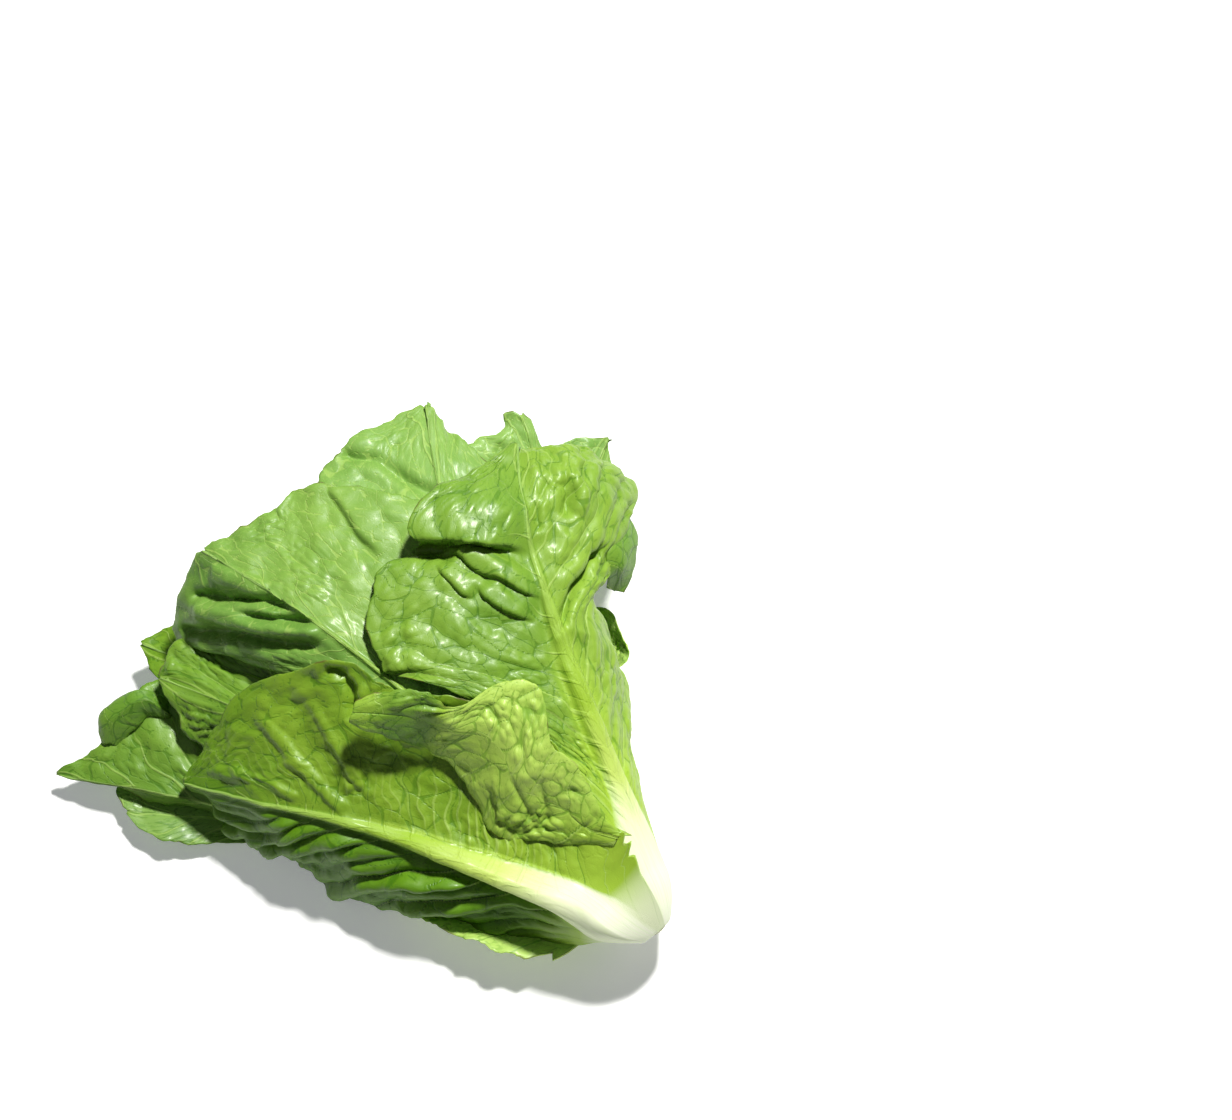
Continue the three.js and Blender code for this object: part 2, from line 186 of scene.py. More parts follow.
# The heart: shells of two facing leaves, each shell smaller than the last by a share. The radius at every
# step along the head, the start and the tip of the first shell and their steps to the next one, the way the
# shells drift sideways, the half angle of a leaf, the turn from shell to shell and the leaves' outline.
HEART_SHELLS, HEART_SHELL_STEP = 6, 0.15
HEART_RADII, HEART_STEP = (6.6, 10.5, 14.5, 20, 26, 25), 45.0
HEART_START, HEART_START_STEP, HEART_TIP, HEART_TIP_STEP = 20.0, 7.5, 222.0, 23.0
HEART_DRIFT, HEART_DRIFT_FROM = 0.09, 60.0
HEART_HALF_SPAN, HEART_FIRST_ANGLE, HEART_TURN = 80.0, 25.0, 137.5
HEART_NARROWING, HEART_ROUNDING = 4, 0.06
HEART_THICKNESS, HEART_GAP = 0.9, 4.5  # mm, the gap between the first shell and the leaves round it

BLADE_THICKNESS = 0.6  # mm
GROWN = 0.1, 0.32  # shares of the length over which a stalk becomes a blade
RING_GAP = 1.6  # mm from one ring's blades to the next
NO_COVER = 400.0  # mm from the axis, further out than any leaf
COVER_TURNS, COVER_TURN = 180, 2.0  # cells round the head, and degrees a cell
COVER_STEPS, COVER_STEP, COVER_START = 124, 2.5, -10.0  # cells along it, mm a cell, and the first one's place
STEM_ROWS, STEM_TURNS = 97, 96
ROUGH_ROWS, ROUGH_COLUMNS = 161, 41  # the coarse grid that a leaf is measured on
APART = 60.0  # mm that keep the noise of the two margins apart
SMALLER = 2.3  # how many small cushions lie across a large one
NOISE_TABLE = 4096  # random entries that the lattice's corners draw from
LEAF_SEED, HEART_SEED, LAP_SEED, SEED_STEP = 100, 500, 900, 20

# The midrib: shares of the leaf's length, its half widths there and how far it stands out, mm.
RIB_PLACES = (0, 0.12, 0.2, 0.3, 0.4, 0.5, 0.6, 0.7, 0.8, 1)
RIB_WIDTHS = (20, 10, 8.6, 7, 5, 3.4, 2.6, 1.9, 1.4, 0.8)
RIB_HEIGHTS = (0, 1.8, 3.4, 3.6, 3.1, 2.5, 1.9, 1.3, 0.9, 0.3)

# ---- Looks of each leaf ----
# Spacing and counts: pitch, mesh spacing in mm; ribs, side veins along the leaf; cell, size of the cushions
# in mm. Heights in mm: puff, the tissue between side veins; pleat, the fine folds beside the midrib;
# blister, the cushions; frill, the waves along the margins. lean: how far a side vein runs on towards the tip
# by the time it reaches the margin, as a share of the leaf's length. rib: size of the midrib, crest: its
# height, trench: depth of the hollows beside it, tilt: how much higher its left side stands, rib_widths and
# rib_shift: its half width and its way off the curve at RIB_PLACES, mm. tint: colour of the blade, from -1
# for olive to 1 for bluish. shade: how deep the green is, above 0 towards the deep green, below 0 towards a
# brighter one; on halves that turn from the light it is painted shade, and on leaves and laps that lie in
# shadow it is painted light. dusk: shade added at a share of the length, painted shade on the outer left
# leaf's tip and its lap's lobe and painted light on the rest of that lap. early: how far the green has gone
# ahead beside the midrib, mm. Shares of the usual: ragged, broad and crumple are uneven margins, wide waves
# and sharp creases. end: where the leaf is cut off. aside and start: how far from the midrib and from the
# cut the colours are read, mm. whole: 1 for a lobe that has no stalk. Two numbers are for the left and the
# right half.
PLAIN_LOOK = dict(
    pitch=1.5, ribs=12, lean=0.12, puff=1.5, pleat=0.4, blister=0.9, cell=9.0, frill=3.0, rib=0.6, crest=1.0,
    trench=(0.5, 0.5), tilt=0.0, rib_widths=RIB_WIDTHS, rib_shift=(0,) * len(RIB_PLACES), tint=0.0, shade=0.0,
    dusk=((0, 0), (1, 0)), early=0.0, ragged=1.0, broad=1.0, crumple=0.9, end=0.992, outline=(), folds=(),
    tucked=False, whole=0, aside=0.0, start=0.0,
)
LOOKS = {
    "outer_leaf_right": dict(
        pitch=1.06, ribs=13, lean=(0.24, 0.30), puff=(2.0, 2.2), pleat=0.5, blister=(0.9, 1.15), cell=15.0,
        frill=3.4, rib=1.0, crest=0.85, trench=(0.6, 0.5), tint=0.3, shade=(-0.05, -0.4),
        dusk=((0.6, 0), (0.8, 0.25)), early=10.0, rib_widths=(20, 11, 8.6, 7.0, 5.6, 4.2, 3.0, 2.1, 1.5, 0.8),
    ),
    "outer_leaf_left": dict(
        pitch=1.08, lean=(0.34, 0.26), puff=(7.0, 1.9), pleat=1.2, blister=(0.8, 0.9), cell=14.0, rib=1.0,
        # painted shade: the left half's shade and the tip's dusk darken the parts that turn from the light
        crest=1.15, trench=(0.9, 0.1), tilt=0.75, tint=-0.35, shade=(0.95, -0.12), early=40.0,
        dusk=((0.78, 0), (0.93, 0.6)), rib_widths=(15, 9, 7.6, 7.0, 6.2, 4.6, 3.4, 2.4, 1.6, 0.8),
        rib_shift=(0, 2, 3, 3, 2.5, 1.5, 0.5, 0, 0, 0),
    ),
    "upper_leaf_left": dict(
        pitch=1.22, lean=(0.12, 0.10), puff=(1.4, 1.2), pleat=0.3, blister=0.6, cell=13.0, rib=0.75, tint=0.9,
        # painted shade: the left half's shade darkens the half that turns from the light
        shade=(0.6, 0.0),
    ),
    "upper_leaf_middle": dict(pitch=1.45, blister=0.6, cell=12.0, frill=3.2, tint=1.2, shade=0.14),
    "upper_leaf_right": dict(rib=0.55, tint=1.3),
    "side_leaf_right": dict(frill=2.0, rib=0.55, tint=1.1, shade=(0.85, 0.0), end=0.995, ragged=0.6),
    "under_leaf_right": dict(
        pitch=1.4, lean=0.2, puff=2.2, pleat=0.8, blister=(2.0, 1.6), cell=6.0, frill=5.0, rib=0.8,
        # painted light: a bright green on a leaf that lies in the shadow of the outer right leaf and its lap
        shade=-1.6,
    ),
    "side_leaf_left": dict(
        pitch=1.3, ribs=7, lean=0.3, puff=2.2, pleat=0.0, blister=1.6, cell=11.0, frill=3.5, tint=0.25,
        shade=0.1,
    ),
    "far_leaf_left": dict(pitch=1.2, puff=1.6, blister=0.8, cell=12.0, frill=4.0, tint=0.35, shade=0.25),
    "inner_leaf_left": dict(pitch=2.0, puff=0.8, pleat=0.3, blister=0.5, frill=2.0, tint=-0.2, shade=0.2),
    "under_leaf_middle": dict(
        pitch=1.6, ribs=13, lean=0.15, puff=(0.6, 2.0), pleat=0.5, blister=(0.5, 1.8), cell=6.5, frill=4.0,
        # painted light: a bright green on the strip that lies in the outer left leaf's shadow
        rib=0.8, shade=-1.7, ragged=1.8,
    ),
    "under_leaf_left": dict(pitch=1.7, puff=0.7, pleat=0.3, blister=0.6, frill=1.5, tint=-0.3, shade=0.1),
}
HEART_LOOK = dict(
    PLAIN_LOOK, pitch=2.6, lean=0.2, puff=0.5, pleat=0.2, blister=0.3, frill=0.9, rib=0.35, broad=0.5,
    end=0.985, ragged=0.7,
)

# Places where a margin stands out from its curve or is torn back: (u, mm outwards) along each side.
OUTLINES = {
    "outer_leaf_right": (
        [(0.0, 3), (0.12, 2), (0.2, 0), (0.46, 0), (0.49, 2), (0.52, -1), (0.70, 0), (0.735, -3), (0.75, -9),
         (0.775, -9), (0.79, 0), (0.80, 0)],
        [(0.0, 0), (0.40, 0), (0.46, 2), (0.50, -6), (0.535, -16), (0.565, -24), (0.59, -30), (0.66, -30),
         (0.70, -22), (0.725, -6), (0.74, 0)],
    ),
    "outer_leaf_left": (
        [(0.2, 0), (0.36, 4), (0.42, 3), (0.50, -2), (0.56, 2), (0.62, 5), (0.645, 7), (0.66, -5), (0.72, -3),
         (1, 0)],
        [(0.0, 7), (0.04, 6), (0.08, 5), (0.12, 6), (0.13, 2), (0.145, 8), (0.155, 2), (0.17, 7), (0.185, 0),
         (0.22, -6), (0.30, -12), (0.6, -14), (0.66, -14), (0.69, -9), (0.70, -4), (0.715, 2), (0.745, 5),
         (0.78, 2), (0.83, 2), (0.89, -4), (0.93, -2), (1, 0)],
    ),
    "upper_leaf_right": (
        [(0.78, 0), (0.84, -8), (0.9, -13), (0.94, -7), (0.97, 2), (1, 3)],
        [(0.8, 0), (0.9, -2), (0.95, 2), (1, 3)],
    ),
    "far_leaf_left": (
        [(0.8, 0), (0.86, 3), (0.9, -2), (1, 0)],
        [(0.70, 4), (0.76, 9), (0.80, 17), (0.84, 11), (0.87, 5), (0.89, -3), (0.91, -5), (0.95, -3), (1, 0)],
    ),
    "side_leaf_left": ([(0.5, 0), (0.7, 6), (0.84, 8), (0.9, 3), (1, 0)], [(0, 0), (1, 0)]),
    "under_leaf_middle": (
        [(0, 0), (1, 0)],
        [(0.0, 0), (0.05, -7), (0.10, -13), (0.117, -12), (0.127, -1), (0.143, 3), (0.16, -3), (0.18, -1),
         (0.2, 3), (0.23, 0), (0.26, 3), (0.3, 1), (0.36, 2), (0.42, 3), (0.5, 0)],
    ),
}

# Creases: (kind, height, lap and half width in mm, fade at the line's start and end, points as u, v). A
# fold's high side is on the left of the line's direction seen from outside the head.
FOLDS = {
    "outer_leaf_right": [
        ("fold", 11.0, 9.0, 4.2, 0.0, 0.45, (0.766, -1.0), (0.772, -0.78), (0.772, -0.6), (0.771, -0.415),
         (0.768, -0.25), (0.758, -0.125), (0.74, 0.0)),
        ("groove", 6.0, 0, 6.0, 0.0, 0.5, (0.752, -1.0), (0.75, -0.8), (0.745, -0.62), (0.742, -0.45)),
        ("groove", 5.5, 0, 2.6, 0.2, 0.1, (0.547, 0.055), (0.582, 0.105), (0.615, 0.17), (0.63, 0.23),
         (0.64, 0.325), (0.655, 0.39), (0.68, 0.48)),
        ("groove", 2.4, 0, 2.4, 0.3, 0.3, (0.843, 0.11), (0.803, 0.075), (0.773, 0.065)),
        ("ridge", 3.0, 0, 3.0, 0.3, 0.3, (0.86, 0.52), (0.822, 0.465), (0.778, 0.39), (0.745, 0.31)),
        ("groove", 3.0, 0, 3.2, 0.3, 0.3, (0.85, 0.40), (0.80, 0.32), (0.755, 0.25)),
        ("ridge", 1.6, 0, 5.0, 0.1, 0.3, (0.76, -0.505), (0.742, -0.37), (0.718, -0.255), (0.688, -0.155),
         (0.663, -0.065)),
        ("fold", 3.2, 2.4, 1.8, 0.2, 0.3, (0.758, -0.64), (0.735, -0.49), (0.708, -0.395), (0.695, -0.33),
         (0.68, -0.245)),
        ("fold", 3.0, 2.2, 1.8, 0.25, 0.3, (0.705, -0.36), (0.688, -0.245), (0.672, -0.165), (0.658, -0.095),
         (0.64, -0.03)),
        ("fold", 3.0, 2.2, 1.8, 0.25, 0.3, (0.717, -0.66), (0.687, -0.54), (0.66, -0.47), (0.638, -0.405)),
        ("fold", 3.4, 2.4, 1.9, 0.2, 0.3, (0.675, -0.40), (0.642, -0.32), (0.618, -0.245), (0.6, -0.165),
         (0.58, -0.09)),
    ],
    "outer_leaf_left": [
        ("groove", 5.0, 0, 2.8, 0.05, 0.3, (0.75, 1.0), (0.73, 0.95), (0.716, 0.84), (0.71, 0.7),
         (0.706, 0.547)),
        ("ridge", 1.8, 0, 3.2, 0.1, 0.3, (0.676, 0.057), (0.73, 0.173), (0.772, 0.332), (0.798, 0.528),
         (0.82, 0.694), (0.84, 0.816)),
        ("ridge", 1.3, 0, 2.4, 0.1, 0.3, (0.646, 0.161), (0.694, 0.32), (0.726, 0.473), (0.752, 0.688),
         (0.774, 0.877)),
        ("ridge", 1.3, 0, 2.4, 0.1, 0.3, (0.77, 0.081), (0.82, 0.179), (0.86, 0.265), (0.892, 0.406)),
    ],
    "upper_leaf_left": [
        ("ridge", 3.0, 0, 4.5, 0.15, 0.2, (0.953, -0.445), (0.925, -0.17), (0.9, -0.07), (0.878, -0.02)),
        ("groove", 5.5, 0, 3.0, 0.1, 0.15, (0.923, -0.855), (0.905, -0.57), (0.888, -0.37), (0.872, -0.19),
         (0.857, -0.09), (0.822, -0.02)),
        ("ridge", 2.5, 0, 2.8, 0.3, 0.2, (0.875, -0.405), (0.855, -0.285), (0.843, -0.19), (0.822, -0.1)),
        ("groove", 4.8, 0, 2.4, 0.3, 0.2, (0.867, -0.36), (0.843, -0.28), (0.823, -0.195), (0.807, -0.085),
         (0.793, -0.02)),
        ("ridge", 5.0, 0, 4.6, 0.1, 0.1, (0.892, -0.765), (0.863, -0.505), (0.832, -0.39), (0.807, -0.3),
         (0.78, -0.165), (0.758, -0.045)),
        ("groove", 6.2, 0, 3.4, 0.1, 0.1, (0.858, -0.925), (0.837, -0.795), (0.825, -0.645), (0.808, -0.475),
         (0.787, -0.375), (0.762, -0.255), (0.743, -0.06)),
        ("fold", 3.0, 2.5, 3.5, 0.1, 0.3, (0.65, 1.0), (0.64, 0.915), (0.632, 0.845), (0.623, 0.76),
         (0.61, 0.705), (0.598, 0.6)),
    ],
    "upper_leaf_middle": [
        ("groove", 3.5, 0, 3.0, 0.1, 0.1, (0.80, -1.0), (0.807, -0.89), (0.825, -0.715), (0.825, -0.51),
         (0.828, -0.25), (0.84, -0.055)),
    ],
}

# How far from the cut a leaf is pressed in under the outer ones, mm: the leaves whose outer parts lie beside
# them, and all the others.
PRESSED_TO = {
    "far_leaf_left": 35.0, "under_leaf_left": 35.0, "side_leaf_left": 35.0, "side_leaf_right": 150.0,
}
ALL_PRESSED = 400.0

# Lobes that are folded back over their own leaf: three curves from the stalk towards the tip and the swell
# of both halves, as a leaf's, and the look.
LAP_LOOK = dict(
    PLAIN_LOOK, lean=0.1, puff=0.8, pleat=0.0, blister=0.6, frill=1.0, rib=0.0, tint=0.3, broad=0.3,
    crumple=0.4, ragged=0.7, end=1.0, whole=1, aside=60.0,
)
LAPS = {
    "outer_leaf_right": dict(
        left=[(86, 133, 62), (88, 134, 70), (90, 138, 77), (95, 143, 80), (101, 150, 79), (108, 157, 78)],
        midrib=[(89, 131, 58), (93, 132, 66), (97, 134, 73), (102, 140, 76), (108, 147, 74), (114, 156, 74)],
        right=[(93, 128, 55), (99, 130, 58), (105, 134, 61), (110, 139, 63), (116, 146, 63), (119, 157, 66)],
        swell=([0, 1, 0], [0, 1, 0]), look=dict(pitch=0.8, ribs=3, shade=0.2, start=150.0),
    ),
    "far_leaf_left": dict(
        left=[(-148, 243, 24), (-141, 251, 33), (-127, 250, 38), (-117, 246, 40), (-112, 240, 36),
              (-109, 231, 30)],
        midrib=[(-145, 239, 26), (-138, 243, 36), (-127, 243, 41), (-119, 240, 42), (-116, 234, 38),
                (-114, 229, 31)],
        right=[(-140, 234, 22), (-135, 236, 27), (-127, 236, 30), (-121, 236, 30), (-118, 231, 28),
               (-116, 226, 26)],
        swell=([1, 2, 1], [1, 2, 1]), look=dict(pitch=0.9, ribs=4, shade=0.4, start=180.0),
    ),
    "outer_leaf_left": dict(
        left=[(2.6, 29.6, 65.4), (-5.4, 40.5, 63.7), (-18.4, 52.5, 61.7), (-27.4, 60.6, 60.4),
              (-36.2, 73.8, 60.7), (-33, 89, 68), (-31, 104, 74), (-35, 115, 79), (-44, 127, 90),
              (-59, 147, 101)],
        midrib=[(7, 31, 70), (-1, 44, 70), (-4, 56, 74), (-9, 66, 77), (-16, 78, 82), (-12, 91, 91),
                (-15, 106, 98), (-25, 116, 95), (-36, 131, 103), (-55, 149, 105)],
        right=[(14, 28, 70), (8, 41, 74), (12, 54, 80), (11, 70, 89), (9, 82, 96), (19, 101, 107),
               (7, 116, 108), (-16, 120, 104), (-27, 137, 112), (-49, 153, 106)],
        swell=([1, 1, 1], [1, 2, 1]),
        look=dict(
            # painted light: shade and dusk brighten the lap, which slopes away from the light, and dusk
            # paints shade on its rolled lobe
            pitch=0.95, ribs=8, lean=0.05, puff=1.2, blister=1.4, cell=10.5, frill=1.6, shade=(-0.1, -0.35),
            broad=0.6, crumple=0.6, ragged=1.2, aside=45.0, start=50.0,
            dusk=((0, -0.5), (0.2, -1.1), (0.71, -1.2), (0.765, 0.5), (0.88, 0.6), (0.95, -0.3)),
            folds=[("groove", height, 0, 1.6, 0.05, 0.4, *line) for height, *line in (
                (1.6, (0.292, -0.746), (0.364, -0.311), (0.438, -0.023), (0.516, -0.011)),
                (1.6, (0.246, -0.721), (0.3, -0.201), (0.358, 0.149), (0.39, 0.577)),
                (1.5, (0.186, -0.709), (0.208, -0.054), (0.252, 0.492), (0.304, 0.767)),
                (1.4, (0.122, -0.476), (0.122, 0.449), (0.162, 1.0)),
                (1.4, (0.41, -0.801), (0.484, -0.599), (0.552, -0.537)),
            )],
        ),
    ),
}


# ---- Curves and sheets ----

def through(points, share):
    """A smooth curve through the points, with point i at i / (number of points - 1): between two points it
    is the cubic whose slope at each is half the step from the point before it to the point after it."""
    points = np.asarray(points, float)
    ends = np.concatenate([[2 * points[0] - points[1]], points, [2 * points[-1] - points[-2]]])
    place = np.clip(share, 0, 1) * (len(points) - 1)
    i = np.minimum(place.astype(int), len(points) - 2)
    w = place - i
    if points.ndim > 1:
        w = w[..., None]
    a, b, c, d = ends[i], ends[i + 1], ends[i + 2], ends[i + 3]
    return 0.5 * (2 * b + (c - a) * w + (2 * a - 5 * b + 4 * c - d) * w**2 + (3 * b - a - 3 * c + d) * w**3)


def axis_at(y):
    """The head's centre in the cross-section at distance y from the cut: it climbs, then runs level."""
    y = np.asarray(y, float)
    return np.stack([0 * y, y, BUTT_HEIGHT + AXIS_RISE * np.minimum(y, AXIS_LEVEL_AT)], -1)


def on_ring(ring, angle, y, flare=0.0):
    """The point at an angle round the head's centre, at the ring's radius where it is y from the cut."""
    turn = math.radians(angle)
    radius = ring[0] + ring[1] * y + flare
    return axis_at(y) + radius * np.array([math.cos(turn), 0, math.sin(turn)])


def unit(vectors):
    """Vectors over their own lengths."""
    return vectors / np.maximum(np.linalg.norm(vectors, axis=-1, keepdims=True), 1e-9)


def leaf_curves(leaf):
    """The points of a leaf's midrib and margins: two on its ring, its own, then its tip. The swell of its
    first two rows is the height of the ring's arc over its chord, radius times 1 - cos(half the angle). A
    lap has only its own points."""
    if "ring" not in leaf:
        return {**leaf, 0: leaf["swell"][0], 2: leaf["swell"][1]}
    ring = STALK_RINGS[leaf["ring"]]
    sheath = leaf.get("sheath", leaf["stalk"])
    reach = ring[2] + STALK_REACH
    curves = {}
    for edge, key in enumerate(("left", "midrib", "right")):
        flare = (ring[4], 0.0, leaf.get("flare", ring[4]))[edge]
        collar = leaf.get("collar", 0.0) * (edge == 2)
        first = leaf.get("seats", {}).get(edge, on_ring(ring, leaf["stalk"][edge], ring[2], collar))
        second = leaf.get("hems", {}).get(edge, on_ring(ring, sheath[edge], reach, flare))
        curves[key] = [first, second, *leaf[key], leaf["tip"]]
    for edge, own in ((0, leaf["swell"][0]), (2, leaf["swell"][1])):
        rises = []
        for angles, y in ((leaf["stalk"], ring[2]), (sheath, reach)):
            half = math.radians(angles[edge] - angles[1]) / 2
            rises.append((ring[0] + ring[1] * y) * (1 - math.cos(half)))
        rises = leaf.get("rises", rises) if edge == 2 else rises
        curves[edge] = [*rises, *own, 0]
    return curves


def blade_sheet(curves):
    """The middle sheet of an outer leaf as a function of u and v. Each half blade is a straight line from
    the midrib to the margin plus a parabola's belly, 4 s (1 - s) times the swell, away from the axis."""
    def sheet(u, v):
        u, v = np.broadcast_arrays(np.asarray(u, float), np.asarray(v, float))
        share = np.abs(v)
        left = v < 0
        start = through(curves["midrib"], u)
        margin = np.where(left[..., None], through(curves["left"], u), through(curves["right"], u))
        swell = np.where(left, through(curves[0], u), through(curves[2], u))
        chord = margin - start
        middle = start + chord / 2
        outward = middle - axis_at(middle[..., 1])
        size = np.maximum((chord**2).sum(-1, keepdims=True), 1e-6)
        outward = unit(outward - chord * ((outward * chord).sum(-1, keepdims=True) / size))
        return start + chord * share[..., None] + outward * (swell * 4 * share * (1 - share))[..., None]
    return sheet


def heart_sheet(shell, angle):
    """The middle sheet of a heart leaf: a sector of a shell round the head's axis, whose half angle narrows
    as the square root of 1 - u to the fourth, with the shell's radius read from a table along the head."""
    start = HEART_START + HEART_START_STEP * shell
    tip = HEART_TIP - HEART_TIP_STEP * shell

    def sheet(u, v):
        u, v = np.broadcast_arrays(np.asarray(u, float), np.asarray(v, float))
        y = start + (tip - start) * u * (1 - HEART_ROUNDING * v * v * u)
        radius = np.interp(y, HEART_STEP * np.arange(len(HEART_RADII)), HEART_RADII)
        radius = radius * (1 - HEART_SHELL_STEP * shell)
        turn = np.radians(angle - v * HEART_HALF_SPAN * np.sqrt(np.clip(1 - u**HEART_NARROWING, 0, 1)))
        centre = axis_at(y)
        centre[..., 0] = HEART_DRIFT * np.maximum(0, y - HEART_DRIFT_FROM)
        return centre + radius[..., None] * np.stack([np.cos(turn), 0 * turn, np.sin(turn)], -1)
    return sheet


def tucked(points):
    """Rounds the butt. With t the share of the last BUTT_ROUND mm before the cut, points draw in towards the
    head's centre by BUTT_DRAW t to the power 2.5 of their distance from it, and bulge BUTT_BULGE t squared mm
    past the cut, more above the centre than below it, so that the cut slopes."""
    y = points[..., 1]
    t = np.clip((BUTT_ROUND - y) / BUTT_ROUND, 0, 1)
    centre = axis_at(y)
    drawn = centre + (points - centre) * (1 - BUTT_DRAW * t**2.5)[..., None]
    drawn[..., 1] = y - BUTT_BULGE * t**2 - CUT_SLOPE * t * (drawn[..., 2] - centre[..., 2])
    return drawn


def facing(points):
    """Outward normals of a grid of points: across the columns crossed with along the rows."""
    return unit(np.cross(np.gradient(points, axis=1), np.gradient(points, axis=0)))


def ease(low, high, x):
    """0 below low, 1 above high, 3 t^2 - 2 t^3 between."""
    t = np.clip((x - low) / (high - low), 0, 1)
    return t * t * (3 - 2 * t)


# ---- Waves, cushions and folds ----

def wander(points, size, seed):
    """Smooth noise, about -1 to 1: a random slope at each corner of a lattice with the given spacing, read
    off at the point and blended by a fifth-power ease along every axis. Points have 1, 2 or 3 numbers."""
    rng = np.random.default_rng(seed)
    axes = points.shape[-1]
    slopes = unit(rng.normal(size=(NOISE_TABLE, axes)))
    place = points / size + 137.31
    corner = np.floor(place).astype(int)
    part = place - corner
    blend = part**3 * (part * (part * 6 - 15) + 10)
    primes = np.array([73856093, 19349663, 83492791])[:axes]
    total = 0.0
    for k in range(2**axes):
        step = np.array([(k >> a) & 1 for a in range(axes)])
        slope = slopes[((corner + step) * primes).sum(-1) % NOISE_TABLE]
        weight = np.where(step == 1, blend, 1 - blend).prod(-1)
        total = total + weight * (slope * (part - step)).sum(-1)
    return total * (2.0, 1.6, 1.5)[axes - 1]


def cushions(x, y, seed):
    """Cells round the points of a unit lattice, each moved by up to 0.42: the distance from the nearest
    border as half the gap between the nearest and the second nearest point, and a random number for each
    cell."""
    rng = np.random.default_rng(seed)
    table = rng.uniform(-1, 1, (3, NOISE_TABLE))
    i, j = np.floor(x).astype(int), np.floor(y).astype(int)
    near = np.full(np.shape(x), 9.0)
    second = near.copy()
    share = np.zeros(np.shape(x))
    for a in (-1, 0, 1):
        for b in (-1, 0, 1):
            key = ((i + a) * 7919 + (j + b) * 104729) % NOISE_TABLE
            px = i + a + 0.5 + 0.42 * table[0][key]
            py = j + b + 0.5 + 0.42 * table[1][key]
            away = np.hypot(x - px, y - py)
            closer = away < near
            second = np.where(closer, near, np.minimum(second, away))
            share = np.where(closer, table[2][key], share)
            near = np.where(closer, away, near)
    return (second - near) / 2, share


def line_distance(points, normals, line):
    """For each point of a sheet: the signed distance to a line that lies on it, positive on the left of the
    line seen from outside, the share of the line passed, and the direction away from it in the sheet."""
    best = np.full(points.shape[:2], 1e9)
    passed = np.zeros(points.shape[:2])
    signs = np.ones(points.shape[:2])
    sideways = np.zeros(points.shape)
    for k in range(len(line) - 1):
        run = line[k + 1] - line[k]
        t = np.clip(((points - line[k]) @ run) / (run @ run), 0, 1)
        gap = points - (line[k] + t[..., None] * run)
        length = np.linalg.norm(gap, axis=-1)
        closer = length < best
        side = unit(np.cross(normals, run))
        sign = np.where((gap * side).sum(-1) >= 0, 1.0, -1.0)
        best = np.where(closer, length, best)
        passed = np.where(closer, (k + t) / (len(line) - 1), passed)
        sideways = np.where(closer[..., None], side, sideways)
        signs = np.where(closer, sign, signs)
    return best * signs, passed, sideways


def bell(x, power=2):
    """1 at 0, falling to 1/e at 1 on both sides."""
    return np.exp(-(x**power))


def folded(points, base, sheet, folds):
    """Adds creases to a sheet, measured on the base it was raised from. A fold lifts the side on the left of
    its line by an eased step that dies away over six half widths, and slides the crest back over the line by
    a bell curve, so that it overhangs. A groove is a bell-shaped valley along its line, and a ridge is a
    flat-topped rise, a bell of the fourth power."""
    normals = facing(base)
    for kind, height, lap, width, fade_in, fade_out, *line in folds:
        route = through(line, np.linspace(0, 1, 8 * (len(line) - 1) + 1))
        away, passed, side = line_distance(base, normals, sheet(route[:, 0], route[:, 1]))
        strength = np.ones(passed.shape)
        if fade_in:
            strength = strength * ease(0, fade_in, passed)
        if fade_out:
            strength = strength * (1 - ease(1 - fade_out, 1, passed))
        if kind == "fold":
            lift = height * ease(-0.6 * width, 0.8 * width, away)
            lift = lift * bell(np.maximum(away - width, 0) / (5 * width))
        else:
            lift = height * bell(away / width, 4) if kind == "ridge" else -height * bell(away / width)
        slide = -lap * bell((away - 0.8 * width) / (1.3 * width))
        points = points + (normals * lift[..., None] + side * slide[..., None]) * strength[..., None]
    return points


def spread(points, axis):
    """Running length along one axis of a grid of points, in mm."""
    steps = np.linalg.norm(np.diff(points, axis=axis), axis=-1)
    return np.insert(np.cumsum(steps, axis), 0, 0, axis)


def spacing(points, phase):
    """The distance between neighbouring lines of whole phase, 2 to 30 mm: one over the length of the phase's
    gradient in the sheet, worked out from the sheet's first fundamental form."""
    du, dv = np.gradient(points, axis=0), np.gradient(points, axis=1)
    pu, pv = np.gradient(phase, axis=0), np.gradient(phase, axis=1)
    e, f, g = (du * du).sum(-1), (du * dv).sum(-1), (dv * dv).sum(-1)
    steep = (pu**2 * g - 2 * pu * pv * f + pv**2 * e) / np.maximum(e * g - f * f, 1e-9)
    return np.clip(1 / np.sqrt(np.maximum(steep, 1e-8)), 2, 30)


